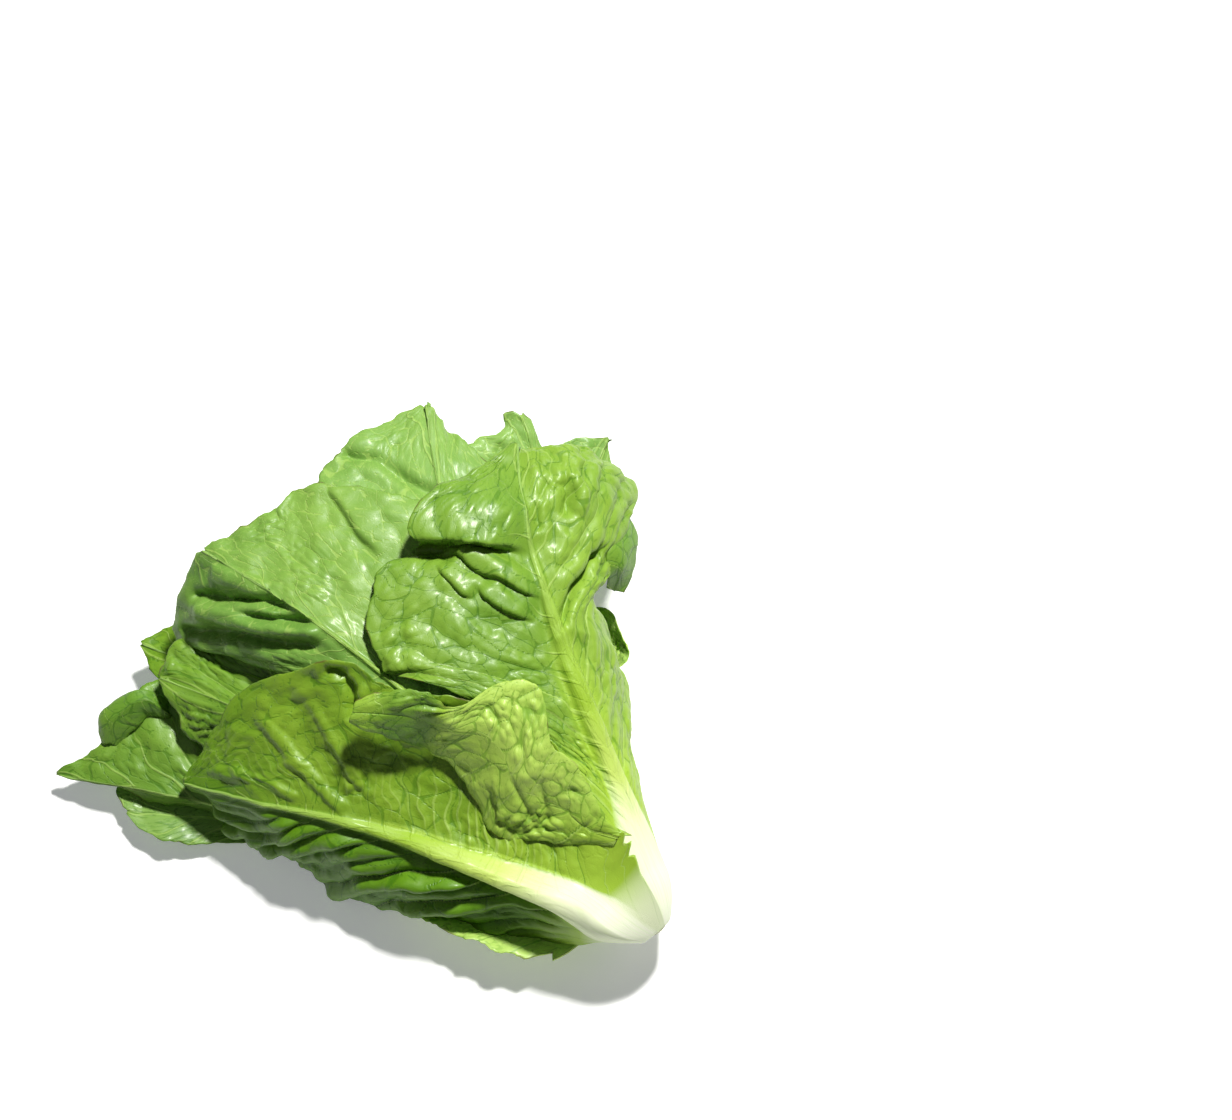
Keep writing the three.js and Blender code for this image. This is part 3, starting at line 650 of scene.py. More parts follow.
def laid_out(sheet, look, noise):
    """The grid of a leaf at its own pitch: u, v and the sheet's points, with the margins drawn out or in by
    the outline and by ragged noise. A point moves by the square of its share of the way to the margin."""
    shares = np.linspace(0, 1, ROUGH_ROWS)
    rough = sheet(shares[:, None], np.linspace(-1, 1, ROUGH_COLUMNS)[None])
    lengths = spread(rough, 0).mean(1)
    halves = spread(rough, 1)
    left_wide = halves[:, ROUGH_COLUMNS // 2]
    right_wide = halves[:, -1] - left_wide
    rows = int(lengths[-1] / look["pitch"])
    columns = [max(6, int(1.06 * np.percentile(w, 85) / look["pitch"])) for w in (left_wide, right_wide)]
    u = np.interp(np.linspace(0, look["end"], rows + 1) * lengths[-1], lengths, shares)[:, None]
    v = np.concatenate([np.linspace(-1, 0, columns[0] + 1), np.linspace(0, 1, columns[1] + 1)[1:]])[None]

    reach = np.where(v < 0, np.interp(u, shares, left_wide), np.interp(u, shares, right_wide))
    offset = np.zeros(reach.shape)
    for table, half in zip(look["outline"], (v < 0, v > 0)):
        offset = offset + np.interp(u, *np.transpose(table), left=0, right=0) * half
    trail = np.stack(np.broadcast_arrays(np.interp(u, shares, lengths), np.sign(v) * APART), -1)
    ragged = 1.6 * noise(trail, 13, 0) + 0.8 * noise(trail, 5, 1) + 0.35 * noise(trail, 2.2, 2)
    offset = offset + look["ragged"] * ragged * ease(*GROWN, u + look["whole"])
    wide = v + np.sign(v) * np.abs(v) ** 2 * offset / np.maximum(reach, 12)
    return u, v, sheet(u + 0 * wide, wide)


def cushion_relief(cell, blister, along, out, place, noise, seed):
    """Large cushions and small ones between them, more of both in patches, and fine crinkles: their height,
    and the distance to the nearest border of either, in mm."""
    bent = [0.3 * noise(place + 90 * k, 2.4 * cell, 15 + k) for k in (0, 1)]
    along, out = along / cell + bent[0], out + bent[1]
    border, lot = cushions(along, out, seed + 7)
    small_border, small_lot = cushions(along * SMALLER + 11, out * SMALLER, seed + 8)
    large = ease(0, 0.36, border) * (0.75 + 0.5 * lot) - 0.5
    small = ease(0, 0.3, small_border) * (0.7 + 0.5 * small_lot) - 0.5
    patch = ease(-0.15, 0.5, noise(place, 36, 9))
    rise = blister * (large * (0.35 + 1.1 * patch) + small * (0.1 + 0.7 * patch))
    crinkle = 0.30 * noise(place, 6.5, 17) + 0.16 * noise(place, 3.1, 18)
    return rise + crinkle * min(1.0, blister.max()), border * cell, small_border * cell / SMALLER


def thickened(points, look, thickness, u, v, across, along, edge):
    """Both faces, the way from the midrib and the midrib's half width. The stalk's thickness dies away with
    u and v, the rim is sharper, the midrib is a crest of the fourth-power bell with a hollow on each side."""
    normals = facing(points)
    rib_wide = np.maximum(look["rib"] * np.interp(u, RIB_PLACES, look["rib_widths"]), 0.01)
    rib_high = look["rib"] * look["crest"] * np.interp(u, RIB_PLACES, RIB_HEIGHTS)
    from_rib = across - np.interp(u, RIB_PLACES, look["rib_shift"])
    crest = rib_high * bell(from_rib / rib_wide, 4) * (1 - look["tilt"] * from_rib / rib_wide)
    body, rounding = BLADE_THICKNESS + 0 * along, 1.0
    if not look["whole"]:
        narrow = 1 + (0.12 - 1) * ease(0.1, 0.35, u)
        body = body + (thickness - BLADE_THICKNESS) * bell(v / narrow) * np.maximum(1 - u, 0) ** 1.5
        rounding = np.sqrt(np.clip(1 - (1 - np.minimum(along / 1.2, 1)) ** 2, 0.3, 1))
    sharpen = 0.45 + 0.55 * ease(0, 1.5, edge)
    body = body * rounding * (sharpen + (1 - sharpen) * (1 - ease(*GROWN, u + look["whole"])))
    beside = bell((np.abs(from_rib) - rib_wide - 2.0) / 2.6) * np.where(from_rib < 0, *look["trench"])
    points = points - normals * (rib_high * beside * ease(0.12, 0.25, u))[..., None]
    upper = points + normals * (body / 2 + crest * rounding)[..., None]
    lower = points - normals * (body / 2)[..., None]
    if look["tucked"]:
        upper, lower = tucked(upper), tucked(lower)
    return upper, lower, from_rib, rib_wide


def grow(sheet, look, thickness, seed):
    """Both faces of a leaf on a grid, and what its material reads. The middle sheet is drawn out to ragged
    margins, lifted by broad waves that all leaves share, folded, frilled along the margins and puffed up
    between its side veins, and then given its thickness, with the midrib standing out from it."""
    noise = lambda where, size, step: wander(where, size, seed + step)
    u, v, base = laid_out(sheet, look, noise)
    age = u + look["whole"]

    # broad waves, folds, frills
    broad = look["broad"] * (2.2 * wander(base, 46, 5) + 1.1 * wander(base, 22, 6))
    broad = broad - look["crumple"] * np.abs(noise(base, 17, 11)) * 1.8
    lifted = base + facing(base) * (broad * ease(0.15, 0.5, age))[..., None]
    points = folded(lifted, base, sheet, look["folds"])
    across = spread(points, 1)
    across = across - across[:, v[0] == 0]
    edge = np.where(v < 0, across - across[:, :1], across[:, -1:] - across)
    own_along = spread(points, 0)
    along = own_along.mean(1)[:, None] + 0 * across
    trail = np.stack([along, np.sign(v) * APART + 0 * along], -1)
    frill = noise(trail, 30, 3) + 0.55 * noise(trail, 14, 4)
    rim = bell(edge / 11) * ease(0.12, 0.4, age)
    points = points + facing(points) * (look["frill"] * frill * rim)[..., None]

    # side veins: the phase is whole on a vein, the gap is the way between two of them in mm
    out, side = np.abs(across), np.broadcast_to((v > 0).astype(int), across.shape)
    lean, puff, blister = (np.broadcast_to(look[key], 2)[side] for key in ("lean", "puff", "blister"))
    place = np.stack([own_along, across], -1)
    phase = look["ribs"] * (along / along.max() - lean * np.abs(v) ** 1.1 * (1 - 0.35 * u)) + 0.45 * side
    phase = phase + 0.42 * noise(place, 44, 5) + 0.10 * noise(place, 13, 10)
    gap = spacing(points, phase)
    lane = np.abs((phase + 0.5) % 1 - 0.5) * 2
    strengths = np.random.default_rng(seed + 6).uniform(0.35, 1.25, 256)
    own = strengths[(np.floor(phase).astype(int) + 60 * side) % 256]

    # tissue puffed up between them, fine folds beside the midrib, a low crest on each vein
    calm = 0.3 + 0.7 * ease(0, 6, edge)
    beyond = ease(1, 9, out - look["rib"] * 4) * ease(0.1, 0.28, age)
    apart = ease(3, 8, gap)
    puffed = own * (0.75 + 0.5 * noise(place, 24, 12)) * (1 - (1 - lane) ** 2.2) - 0.3
    height = puff * puffed * beyond * calm * apart
    near = bell((out - 18) / 18) * ease(0.2, 0.4, age) * ease(5, 15, out)
    near = near * (1 - 0.7 * ease(90, 160, along)) * ease(9, 14, gap)
    fine = 4 * phase + 0.3 * noise(place, 16, 13)
    pleat = np.abs(2 * (fine % 1) - 1) ** 1.5 - 0.5
    height = height + look["pleat"] * pleat * near * (0.7 + 0.6 * noise(place, 20, 14))
    height = height + 0.7 * bell(lane * gap / 2 / 1.2) * np.exp(-out / 30) * own * beyond * apart

    cell = look["cell"]
    vein_along = phase * along.max() / look["ribs"] + own_along - along
    rise, border, small_border = cushion_relief(
        cell, blister, vein_along, out / cell + 40 * side, place, noise, seed)
    height = height + rise * beyond * calm
    points = points + facing(points) * height[..., None]
    upper, lower, from_rib, rib_wide = thickened(points, look, thickness, u, v, across, along, edge)
    ahead = ease(0, 5, from_rib - rib_wide) - 1.5 * ease(0, 5, -from_rib - rib_wide)
    marks = {
        "leaf_place": (from_rib + (look["aside"] + look["early"] * ahead), along + look["start"], edge),
        "leaf_veins": (phase, out / along.max() * look["ribs"] + 40 * side, gap),
        # the height is read again to paint shade into the hollows
        "leaf_tone": (height, rib_wide, border),
        "leaf_cells": (small_border, own, 0),
        "leaf_pleats": (fine, look["pleat"] * near, gap / 4),
    }
    marks = {key: np.stack(np.broadcast_arrays(*three, along)[:3], -1) for key, three in marks.items()}
    return upper, lower, marks


def around(points):
    """Angle round the head's axis in degrees, distance along it and distance from it, of each point."""
    x, y, z = np.moveaxis(points - axis_at(points[..., 1]), -1, 0)
    return np.degrees(np.arctan2(z, x)), points[..., 1], np.hypot(x, z)


class Cover:
    """How far from the axis the outer leaves lie: the least radius in every 2 degrees by 2.5 mm, widened
    past their margins with a slope, so that the leaves inside them can be pressed in under them."""

    def __init__(self):
        self.radius = np.full((COVER_TURNS, COVER_STEPS), NO_COVER)

    def add(self, points):
        """Lowers each cell to the least radius of the points in it."""
        turn, along, radius = around(points)
        row = (turn // COVER_TURN).astype(int) % COVER_TURNS
        column = np.clip(((along - COVER_START) / COVER_STEP).astype(int), 0, COVER_STEPS - 1)
        np.minimum.at(self.radius, (row, column), radius)

    def widen(self):
        """Nine times over, each cell takes the least of its own radius and its neighbours' plus 2 mm."""
        for _ in range(9):
            r = self.radius
            ahead = np.concatenate([r[:, 1:], r[:, -1:]], 1)
            behind = np.concatenate([r[:, :1], r[:, :-1]], 1)
            beside = np.minimum(np.roll(r, 1, 0), np.roll(r, -1, 0))
            self.radius = np.minimum(r, np.minimum(np.minimum(ahead, behind), beside) + 2.0)

    def press(self, points, gap, reach):
        """Draws points in towards the axis until they are the gap inside the cover, fading out over 30 mm
        from the reach on. With e the distance past that limit, the radius falls by half of e plus the root
        of e squared plus 1."""
        turn, along, radius = around(points)
        row = turn / COVER_TURN - 0.5
        column = np.clip((along - COVER_START) / COVER_STEP - 0.5, 0, COVER_STEPS - 2)
        i, j = np.floor(row).astype(int), np.floor(column).astype(int)
        a, b = row - i, column - j
        this, following = i % COVER_TURNS, (i + 1) % COVER_TURNS
        here, ahead = (self.radius[this, k] * (1 - a) + self.radius[following, k] * a for k in (j, j + 1))
        limit = here * (1 - b) + ahead * b
        past = radius - limit + gap
        drop = (past + np.sqrt(past**2 + 1)) / 2 * (1 - ease(reach, reach + 30, along))
        centre = axis_at(along)
        return centre + (points - centre) * (1 - np.minimum(drop / np.maximum(radius, 1), 0.9))[..., None]


# ---- Meshes ----

def shell_faces(rows, columns):
    """Quads of the closed shell between two grids of rows by columns points: the upper grid, the lower one
    turned over, and a strip along the four edges."""
    grid = np.arange(rows * columns).reshape(rows, columns)
    low = grid + rows * columns
    top = np.stack([grid[:-1, :-1], grid[:-1, 1:], grid[1:, 1:], grid[1:, :-1]], -1).reshape(-1, 4)
    bottom = np.stack([low[:-1, :-1], low[1:, :-1], low[1:, 1:], low[:-1, 1:]], -1).reshape(-1, 4)
    loop = np.concatenate([grid[0, :-1], grid[:-1, -1], grid[-1, :0:-1], grid[:0:-1, 0]])
    after = np.roll(loop, -1)
    rim = np.stack([after, loop, loop + rows * columns, after + rows * columns], -1)
    return np.concatenate([top, bottom, rim])


def make_piece(name, points, faces, marks, material, slot, nodes):
    """A mesh object from points in mm about the cut stem, standing for the named nodes."""
    place = (points + HEAD_PLACE) * MM
    place[:, 2] = np.maximum(place[:, 2], FLOOR_GAP * MM)
    starts = np.arange(len(faces)) * faces.shape[1]
    mesh = bpy.data.meshes.new(name)
    mesh.vertices.add(len(place))
    mesh.vertices.foreach_set("co", place.astype(np.float32).ravel())
    mesh.loops.add(faces.size)
    mesh.loops.foreach_set("vertex_index", faces.astype(np.int32).ravel())
    mesh.polygons.add(len(faces))
    mesh.polygons.foreach_set("loop_start", starts.astype(np.int32))
    mesh.update(calc_edges=True)
    mesh.validate()
    mesh.polygons.foreach_set("use_smooth", np.ones(len(mesh.polygons), bool))
    for key, values in marks.items():
        mark = mesh.attributes.new(key, "FLOAT_VECTOR", "POINT")
        mark.data.foreach_set("vector", values.astype(np.float32).ravel())
    piece = bpy.data.objects.new(name, mesh)
    bpy.context.collection.objects.link(piece)
    mesh.materials.append(material)
    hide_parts(*nodes)
    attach(piece, "root")


def make_leaf(node, sheet, look, thickness, seed, ending="_blade", cover=None, gap=0.0, reach=ALL_PRESSED):
    """A leaf on its sheet, pressed in under the cover when there is a gap and added to it otherwise. Its kind
    holds the tint, the shade, which carries painted shade and painted light on some leaves and goes over from
    the left half's to the right one's within 6 mm of the midrib, and 1 for the lower face."""
    upper, lower, marks = grow(sheet, look, thickness, seed)
    if cover is not None and gap:
        upper, lower = cover.press(upper, gap, reach), cover.press(lower, gap + BLADE_THICKNESS, reach)
    elif cover is not None:
        cover.add(lower)
    points = np.concatenate([upper.reshape(-1, 3), lower.reshape(-1, 3)])
    doubled = {key: np.concatenate([m.reshape(-1, 3)] * 2) for key, m in marks.items()}
    # dusk adds shade along the leaf: painted shade on the outer left leaf's tip and its lap's lobe, painted
    # light on the rest of that lap
    dusk = np.interp(np.linspace(0, 1, len(upper)), *np.transpose(look["dusk"]))[:, None]
    halves = np.array([-6, 6]) + look["aside"]
    shade = np.interp(marks["leaf_place"][..., 0], halves, np.broadcast_to(look["shade"], 2)) + dusk
    faces_down = np.repeat([0, 1], shade.size)
    tints = np.full(2 * shade.size, look["tint"])
    doubled["leaf_kind"] = np.stack([tints, np.tile(shade.ravel(), 2), faces_down], -1)
    slot = next((name for name in ("outer_leaf", "heart_leaf") if node.startswith(name)), "inner_leaf")
    material = made("lettuce_" + slot, leaf_surface, slot)
    make_piece(node + ending, points, shell_faces(*upper.shape[:2]), doubled, material, slot, [node])


# ---- Materials ----

class Tree:
    """Short ways to add and join shader nodes in one tree."""

    def __init__(self, tree):
        self.tree = tree

    def node(self, kind, inputs=(), **settings):
        """A new node with its settings, its inputs set to numbers or joined to sockets."""
        node = self.tree.nodes.new(kind)
        for key, value in settings.items():
            setattr(node, key, value)
        for key, value in dict(inputs).items():
            self.put(node.inputs[key], value)
        return node

    def put(self, socket, value):
        if isinstance(value, bpy.types.NodeSocket):
            self.tree.links.new(value, socket)
        else:
            socket.default_value = value

    def math(self, operation, *values, clamp=False):
        node = self.node("ShaderNodeMath", dict(enumerate(values)), operation=operation, use_clamp=clamp)
        return node.outputs[0]

    def times(self, first, *others):
        """The product of any count of values."""
        for value in others:
            first = self.math("MULTIPLY", first, value)
        return first

    def off_whole(self, value):
        """The distance to the nearest whole number."""
        passed = self.math("FRACT", self.math("ADD", value, 0.5))
        return self.math("ABSOLUTE", self.math("SUBTRACT", passed, 0.5))

    def span(self, value, low, high, to_low=0.0, to_high=1.0, way="SMOOTHSTEP"):
        """The value moved from the first range to the second one and held inside it."""
        ends = {"Value": value, "From Min": low, "From Max": high, "To Min": to_low, "To Max": to_high}
        return self.node("ShaderNodeMapRange", ends, interpolation_type=way).outputs["Result"]

    def mix(self, share, a, b, blend="MIX"):
        node = self.node("ShaderNodeMix", {"Factor": share}, data_type="RGBA", blend_type=blend)
        self.put(node.inputs[6], a)
        self.put(node.inputs[7], b)
        return node.outputs[2]

    def ramp(self, value, stops):
        """A colour read off between stops, each a place from 0 to 1 and a colour."""
        node = self.node("ShaderNodeValToRGB", {"Fac": value})
        elements = node.color_ramp.elements
        while len(elements) < len(stops):
            elements.new(0.5)
        for element, (place, colour) in zip(elements, stops):
            element.position = place
            element.color = (*colour, 1)
        return node.outputs["Color"]

    def noise(self, vector, scale, detail=2.0, stretch=None):
        """Cloudy noise about 0.5, its space stretched first when a scale for each axis is given."""
        if stretch:
            vector = self.node("ShaderNodeMapping", {"Vector": vector, "Scale": stretch}).outputs[0]
        inputs = {"Vector": vector, "Scale": scale, "Detail": detail, "Roughness": 0.5}
        return self.node("ShaderNodeTexNoise", inputs).outputs["Fac"]

    def split(self, vector):
        return self.node("ShaderNodeSeparateXYZ", {"Vector": vector}).outputs

    def read(self, mark):
        return self.node("ShaderNodeAttribute", attribute_name=mark).outputs["Vector"]

    def object_place(self):
        return self.node("ShaderNodeTexCoord").outputs["Object"]

    def bump(self, height, strength):
        """The normal of a relief whose height is in mm."""
        inputs = {"Height": height, "Strength": strength, "Distance": MM}
        return self.node("ShaderNodeBump", inputs).outputs[0]


def made(name, surface, *settings):
    """The named material, its surface laid in an empty tree the first time it is asked for."""
    if name not in bpy.data.materials:
        material = bpy.data.materials.new(name)
        material.use_nodes = True
        material.node_tree.nodes.clear()
        t = Tree(material.node_tree)
        t.node("ShaderNodeOutputMaterial", {"Surface": surface(t, *settings).outputs[0]})
    return bpy.data.materials[name]


def vein_group():
    """Masks of a leaf's veins. A side vein runs where the phase is whole: its distance is the distance to
    the nearest whole number times the spacing. Finer veins follow the borders of two sizes of cushion, given
    in mm, and the finest the borders of small bent cells."""
    name = "leaf_vein_masks"
    if name in bpy.data.node_groups:
        return bpy.data.node_groups[name]
    group = bpy.data.node_groups.new(name, "ShaderNodeTree")
    socket = group.interface.new_socket
    socket("Veins", in_out="INPUT", socket_type="NodeSocketVector")
    socket("Place", in_out="INPUT", socket_type="NodeSocketVector")
    for label, value in (("Rib Width", 3.0), ("Border", 9.0), ("Small Border", 9.0), ("Strength", 1.0)):
        socket(label, in_out="INPUT", socket_type="NodeSocketFloat").default_value = value
    socket("Pleats", in_out="INPUT", socket_type="NodeSocketVector")
    t = Tree(group)
    start = t.node("NodeGroupInput").outputs
    veins, place, folds = t.split(start["Veins"]), t.split(start["Place"]), t.split(start["Pleats"])

    across = t.math("ABSOLUTE", place["X"])
    rib = t.span(t.math("DIVIDE", across, start["Rib Width"]), 0.72, 1.15, 1.0, 0.0)
    far = t.times(t.off_whole(veins["X"]), veins["Z"])
    width = t.times(
        t.span(across, 0.0, 60.0, 1.1, 0.36, "LINEAR"), t.span(start["Strength"], 0.3, 1.3, 0.6, 1.2),
        t.span(place["Y"], 90.0, 180.0, 1.0, 0.5),
    )
    side = t.span(t.math("DIVIDE", far, width), 0.55, 1.35, 1.0, 0.0)
    pleats = t.times(t.span(t.times(t.off_whole(folds["X"]), folds["Z"]), 0.2, 0.7, 1.0, 0.0), folds["Y"])
    net = t.span(start["Border"], 0.22, 0.60, 1.0, 0.0)
    small = t.span(start["Small Border"], 0.10, 0.36, 0.85, 0.0)

    flat = t.node("ShaderNodeCombineXYZ", {"X": veins["X"], "Y": veins["Y"], "Z": 0.0}).outputs[0]
    bent = t.node("ShaderNodeTexNoise", {"Vector": flat, "Scale": 2.2, "Detail": 1.0}).outputs["Color"]
    bend = t.node("ShaderNodeVectorMath", {0: bent, "Scale": 0.35}, operation="SCALE").outputs[0]
    wavy = t.node("ShaderNodeVectorMath", {0: flat, 1: bend}, operation="ADD").outputs[0]
    cells = t.node("ShaderNodeTexVoronoi", {"Vector": wavy, "Scale": 7.0}, feature="DISTANCE_TO_EDGE")
    fine = t.math("MAXIMUM", small, t.span(cells.outputs["Distance"], 0.0, 0.07, 0.35, 0.0))

    height = t.math("MULTIPLY_ADD", side, t.span(across, 10.0, 40.0, 0.30, -0.15), t.times(net, -0.20))
    height = t.math("MULTIPLY_ADD", fine, -0.08, height)
    height = t.math("MULTIPLY_ADD", pleats, 0.16, height)
    height = t.times(height, t.span(place["Y"], 15.0, 60.0, 0.08, 1.0))
    masks = {"Rib": rib, "Side Veins": side, "Pleats": pleats, "Net": net, "Fine Net": fine, "Height": height}
    for label in masks:
        socket(label, in_out="OUTPUT", socket_type="NodeSocketFloat")
    t.node("NodeGroupOutput", masks)
    return group


# Colours are linear red, green, blue and 1. A tone is a multiple of the blade's colour.
# painted light: the green that leaves and laps lying in shadow are brightened to
PAINTED_LIGHT_GREEN = (0.68, 0.86, 0.20, 1)
BLUISH = (0.25, 0.45, 0.11, 1)
OLIVE = (0.23, 0.40, 0.012, 1)
UNDERSIDE = (0.30, 0.48, 0.22, 1)
PALE_VEIN = (0.50, 0.68, 0.17, 1)
RIB_STREAK = (0.50, 0.68, 0.14, 1)
DRIED_EDGE = (0.10, 0.045, 0.02, 1)
NET_TONE = (0.42, 0.60, 0.28, 1)
# multiplied into the hollows of the relief as painted shade
PAINTED_HOLLOW_SHADE = (0.50, 0.66, 0.35, 1)
GLOW_TONE = (1.0, 1.25, 0.45, 1)
RIB_COLOURS = (
    (0.0, (0.98, 0.98, 0.88)), (0.16, (0.88, 0.93, 0.58)), (0.28, (0.59, 0.74, 0.16)),
    (0.46, (0.33, 0.53, 0.03)), (1.0, (0.28, 0.47, 0.10)),
)
RIB_COLOURS_TO = 260.0  # mm from the cut to the last of them
# mm of ripeness at the last stop, then the stops: cream, yellow-green twice, green
BLADE_STOPS = {"heart_leaf": (220.0, 0.0, 0.35, 0.8, 1.0), "other": (240.0, 0.10, 0.28, 0.46, 0.66)}


def blade_colour(t, slot, object_place, place, across, tone, kind):
    """Colour of the open blade, and how ripe it is: the way from the cut in mm, ahead of itself away from
    the midrib. It runs from cream over yellow-green to green, then takes its leaf's shade, with painted shade
    and painted light on some leaves, and its tint."""
    colours = bpy.context.scene.lettuce_colours
    pale, bright, green, deep = map(tuple, (colours.stalk, colours.young, colours.blade, colours.deep))
    cloud = t.noise(object_place, 26.0, 3.0)
    beyond = t.math("MAXIMUM", t.math("SUBTRACT", across, tone["Y"]), 0.0)
    spreading = t.times(t.math("MINIMUM", beyond, 30.0), t.span(place["Y"], 4.0, 28.0, 0.5, 2.2))
    ripe = t.math("MULTIPLY_ADD", place["Y"], 0.8, spreading)
    ripe = t.math("MULTIPLY_ADD", t.math("SUBTRACT", cloud, 0.5), 24.0, ripe)
    reach, *stops = BLADE_STOPS.get(slot, BLADE_STOPS["other"])
    blade = t.ramp(t.span(ripe, 0.0, reach, way="LINEAR"), tuple(zip(stops, (pale, bright, bright, green))))

    # random clouds and the leaf's shade deepen the green: painted shade on the halves, tips and lobes that
    # turn from the light
    shade = t.math("ADD", t.times(t.span(cloud, 0.35, 0.68), 0.45), kind["Y"], clamp=True)
    blade = t.mix(t.times(shade, t.span(ripe, 60.0, 120.0)), blade, (*deep, 1))
    # below 0 the shade brightens the green, below -1 up to the brightest: painted light on the leaves and
    # laps that lie in shadow, a lighter green on the others
    blade = t.mix(t.math("MULTIPLY", kind["Y"], -1.0, clamp=True), blade, (*bright, 1))
    blade = t.mix(t.math("SUBTRACT", -1.0, kind["Y"], clamp=True), blade, PAINTED_LIGHT_GREEN)
    ripened = t.span(ripe, 70.0, 130.0)
    for tint, colour in ((kind["X"], BLUISH), (t.times(kind["X"], -1.0), OLIVE)):
        blade = t.mix(t.times(t.math("MAXIMUM", tint, 0.0), 0.55, ripened), blade, colour)
    return t.mix(t.times(kind["Z"], 0.6), blade, t.mix(0.45, blade, UNDERSIDE)), ripe


def leaf_surface(t, slot):
    """Waxy leaf: blade and midrib colours run along the leaf, with painted shade and painted light on some
    leaves, veins are lighter, the small net is darker, the hollows of the relief are painted darker as shade,
    margins are browned in places, and light shines through."""
    place_mark, object_place = t.read("leaf_place"), t.object_place()
    place, tone = t.split(place_mark), t.split(t.read("leaf_tone"))
    kind, cells = t.split(t.read("leaf_kind")), t.split(t.read("leaf_cells"))
    masks = t.node("ShaderNodeGroup", {
        "Veins": t.read("leaf_veins"), "Place": place_mark, "Rib Width": tone["Y"], "Border": tone["Z"],
        "Small Border": cells["X"], "Strength": cells["Y"], "Pleats": t.read("leaf_pleats"),
    }, node_tree=vein_group()).outputs
    across = t.math("ABSOLUTE", place["X"])
    blade, ripe = blade_colour(t, slot, object_place, place, across, tone, kind)

    # veins
    dark = t.mix(1.0, blade, NET_TONE, "MULTIPLY")
    light = t.mix(0.6, blade, PALE_VEIN)
    net_colour = t.mix(t.span(kind["X"], 0.52, 0.75), dark, light)
    open_blade = t.times(t.span(ripe, 40.0, 110.0), t.span(place["Y"], 30.0, 80.0))
    colour = t.mix(t.times(masks["Fine Net"], 0.5, open_blade), blade, net_colour)
    colour = t.mix(t.times(masks["Net"], 0.66, open_blade), colour, net_colour)
    colour = t.mix(t.times(masks["Pleats"], 0.65), colour, light)
    far_out = t.times(t.span(across, 14.0, 34.0), t.span(cells["Y"], 1.05, 0.65))
    vein_share = t.times(t.span(ripe, 20.0, 90.0, 0.15, 0.8), t.span(place["Y"], 130.0, 210.0, 1.0, 0.75))
    colour = t.mix(t.times(masks["Side Veins"], vein_share), colour, t.mix(far_out, light, net_colour))

    # painted shade in the hollows, midrib, dried margins
    # low places of the relief are painted darker: painted shade where less light falls
    hollow = t.span(tone["X"], -1.6, 0.6, 0.55, 0.0)
    colour = t.mix(hollow, colour, t.mix(1.0, colour, PAINTED_HOLLOW_SHADE, "MULTIPLY"))
    rib_colour = t.ramp(t.span(place["Y"], 0.0, RIB_COLOURS_TO, way="LINEAR"), RIB_COLOURS)
    streak = t.noise(place_mark, 1.0, 2.0, (0.9, 0.03, 0.0))
    colour = t.mix(masks["Rib"], colour, t.mix(t.span(streak, 0.45, 0.75, 0.0, 0.22), rib_colour, RIB_STREAK))
    dried = t.span(t.noise(object_place, 60.0, 2.0), 0.52, 0.66)
    colour = t.mix(t.times(t.span(place["Z"], 0.25, 1.1, 1.0, 0.0), dried, 0.75), colour, DRIED_EDGE)

    # relief and finish
    grain = t.noise(place_mark, 2.2, 2.0)
    rough = t.math("MULTIPLY_ADD", masks["Rib"], 0.06, t.span(grain, 0.3, 0.7, 0.36, 0.54))
    fibre = t.noise(place_mark, 1.0, 3.0, (1.6, 0.05, 0.0))
    fibre = t.times(fibre, t.times(masks["Rib"], t.span(place["Y"], 10.0, 60.0, 0.1, 0.5)))
    off_rib = t.span(t.math("SUBTRACT", across, tone["Y"]), 0.0, 10.0, 0.1, 1.0)
    near_rib = t.times(t.span(across, 8.0, 34.0, 1.0, 0.0), off_rib)
    midway = t.times(t.span(place["Y"], 20.0, 60.0, 0.0, 0.7), t.span(place["Y"], 100.0, 160.0, 1.0, 0.15))
    creases = t.times(t.noise(place_mark, 1.0, 2.0, (0.05, 0.5, 0.0)), t.times(near_rib, midway))
    height = t.math("ADD", masks["Height"], t.math("ADD", fibre, creases))
    normal = t.bump(t.math("MULTIPLY_ADD", grain, 0.08, height), 0.75)
    surface = t.node("ShaderNodeBsdfPrincipled", {
        "Base Color": colour, "Roughness": rough, "Normal": normal, "Specular IOR Level": 0.38,
        "Coat Weight": 0.11, "Coat Roughness": 0.2,
    })
    glow = t.mix(1.0, colour, GLOW_TONE, "MULTIPLY")
    through_light = t.node("ShaderNodeBsdfTranslucent", {"Color": glow, "Normal": normal})
    share = bpy.context.scene.lettuce_colours.light_through
    return t.node("ShaderNodeMixShader", {0: share, 1: surface.outputs[0], 2: through_light.outputs[0]})


CUT_COLOURS = (
    (0.0, (0.72, 0.74, 0.50)), (0.45, (0.78, 0.80, 0.56)), (0.62, (0.50, 0.55, 0.24)),
    (0.72, (0.80, 0.82, 0.58)), (1.0, (0.74, 0.78, 0.48)),
)
CUT_RADIUS = 13.5  # mm


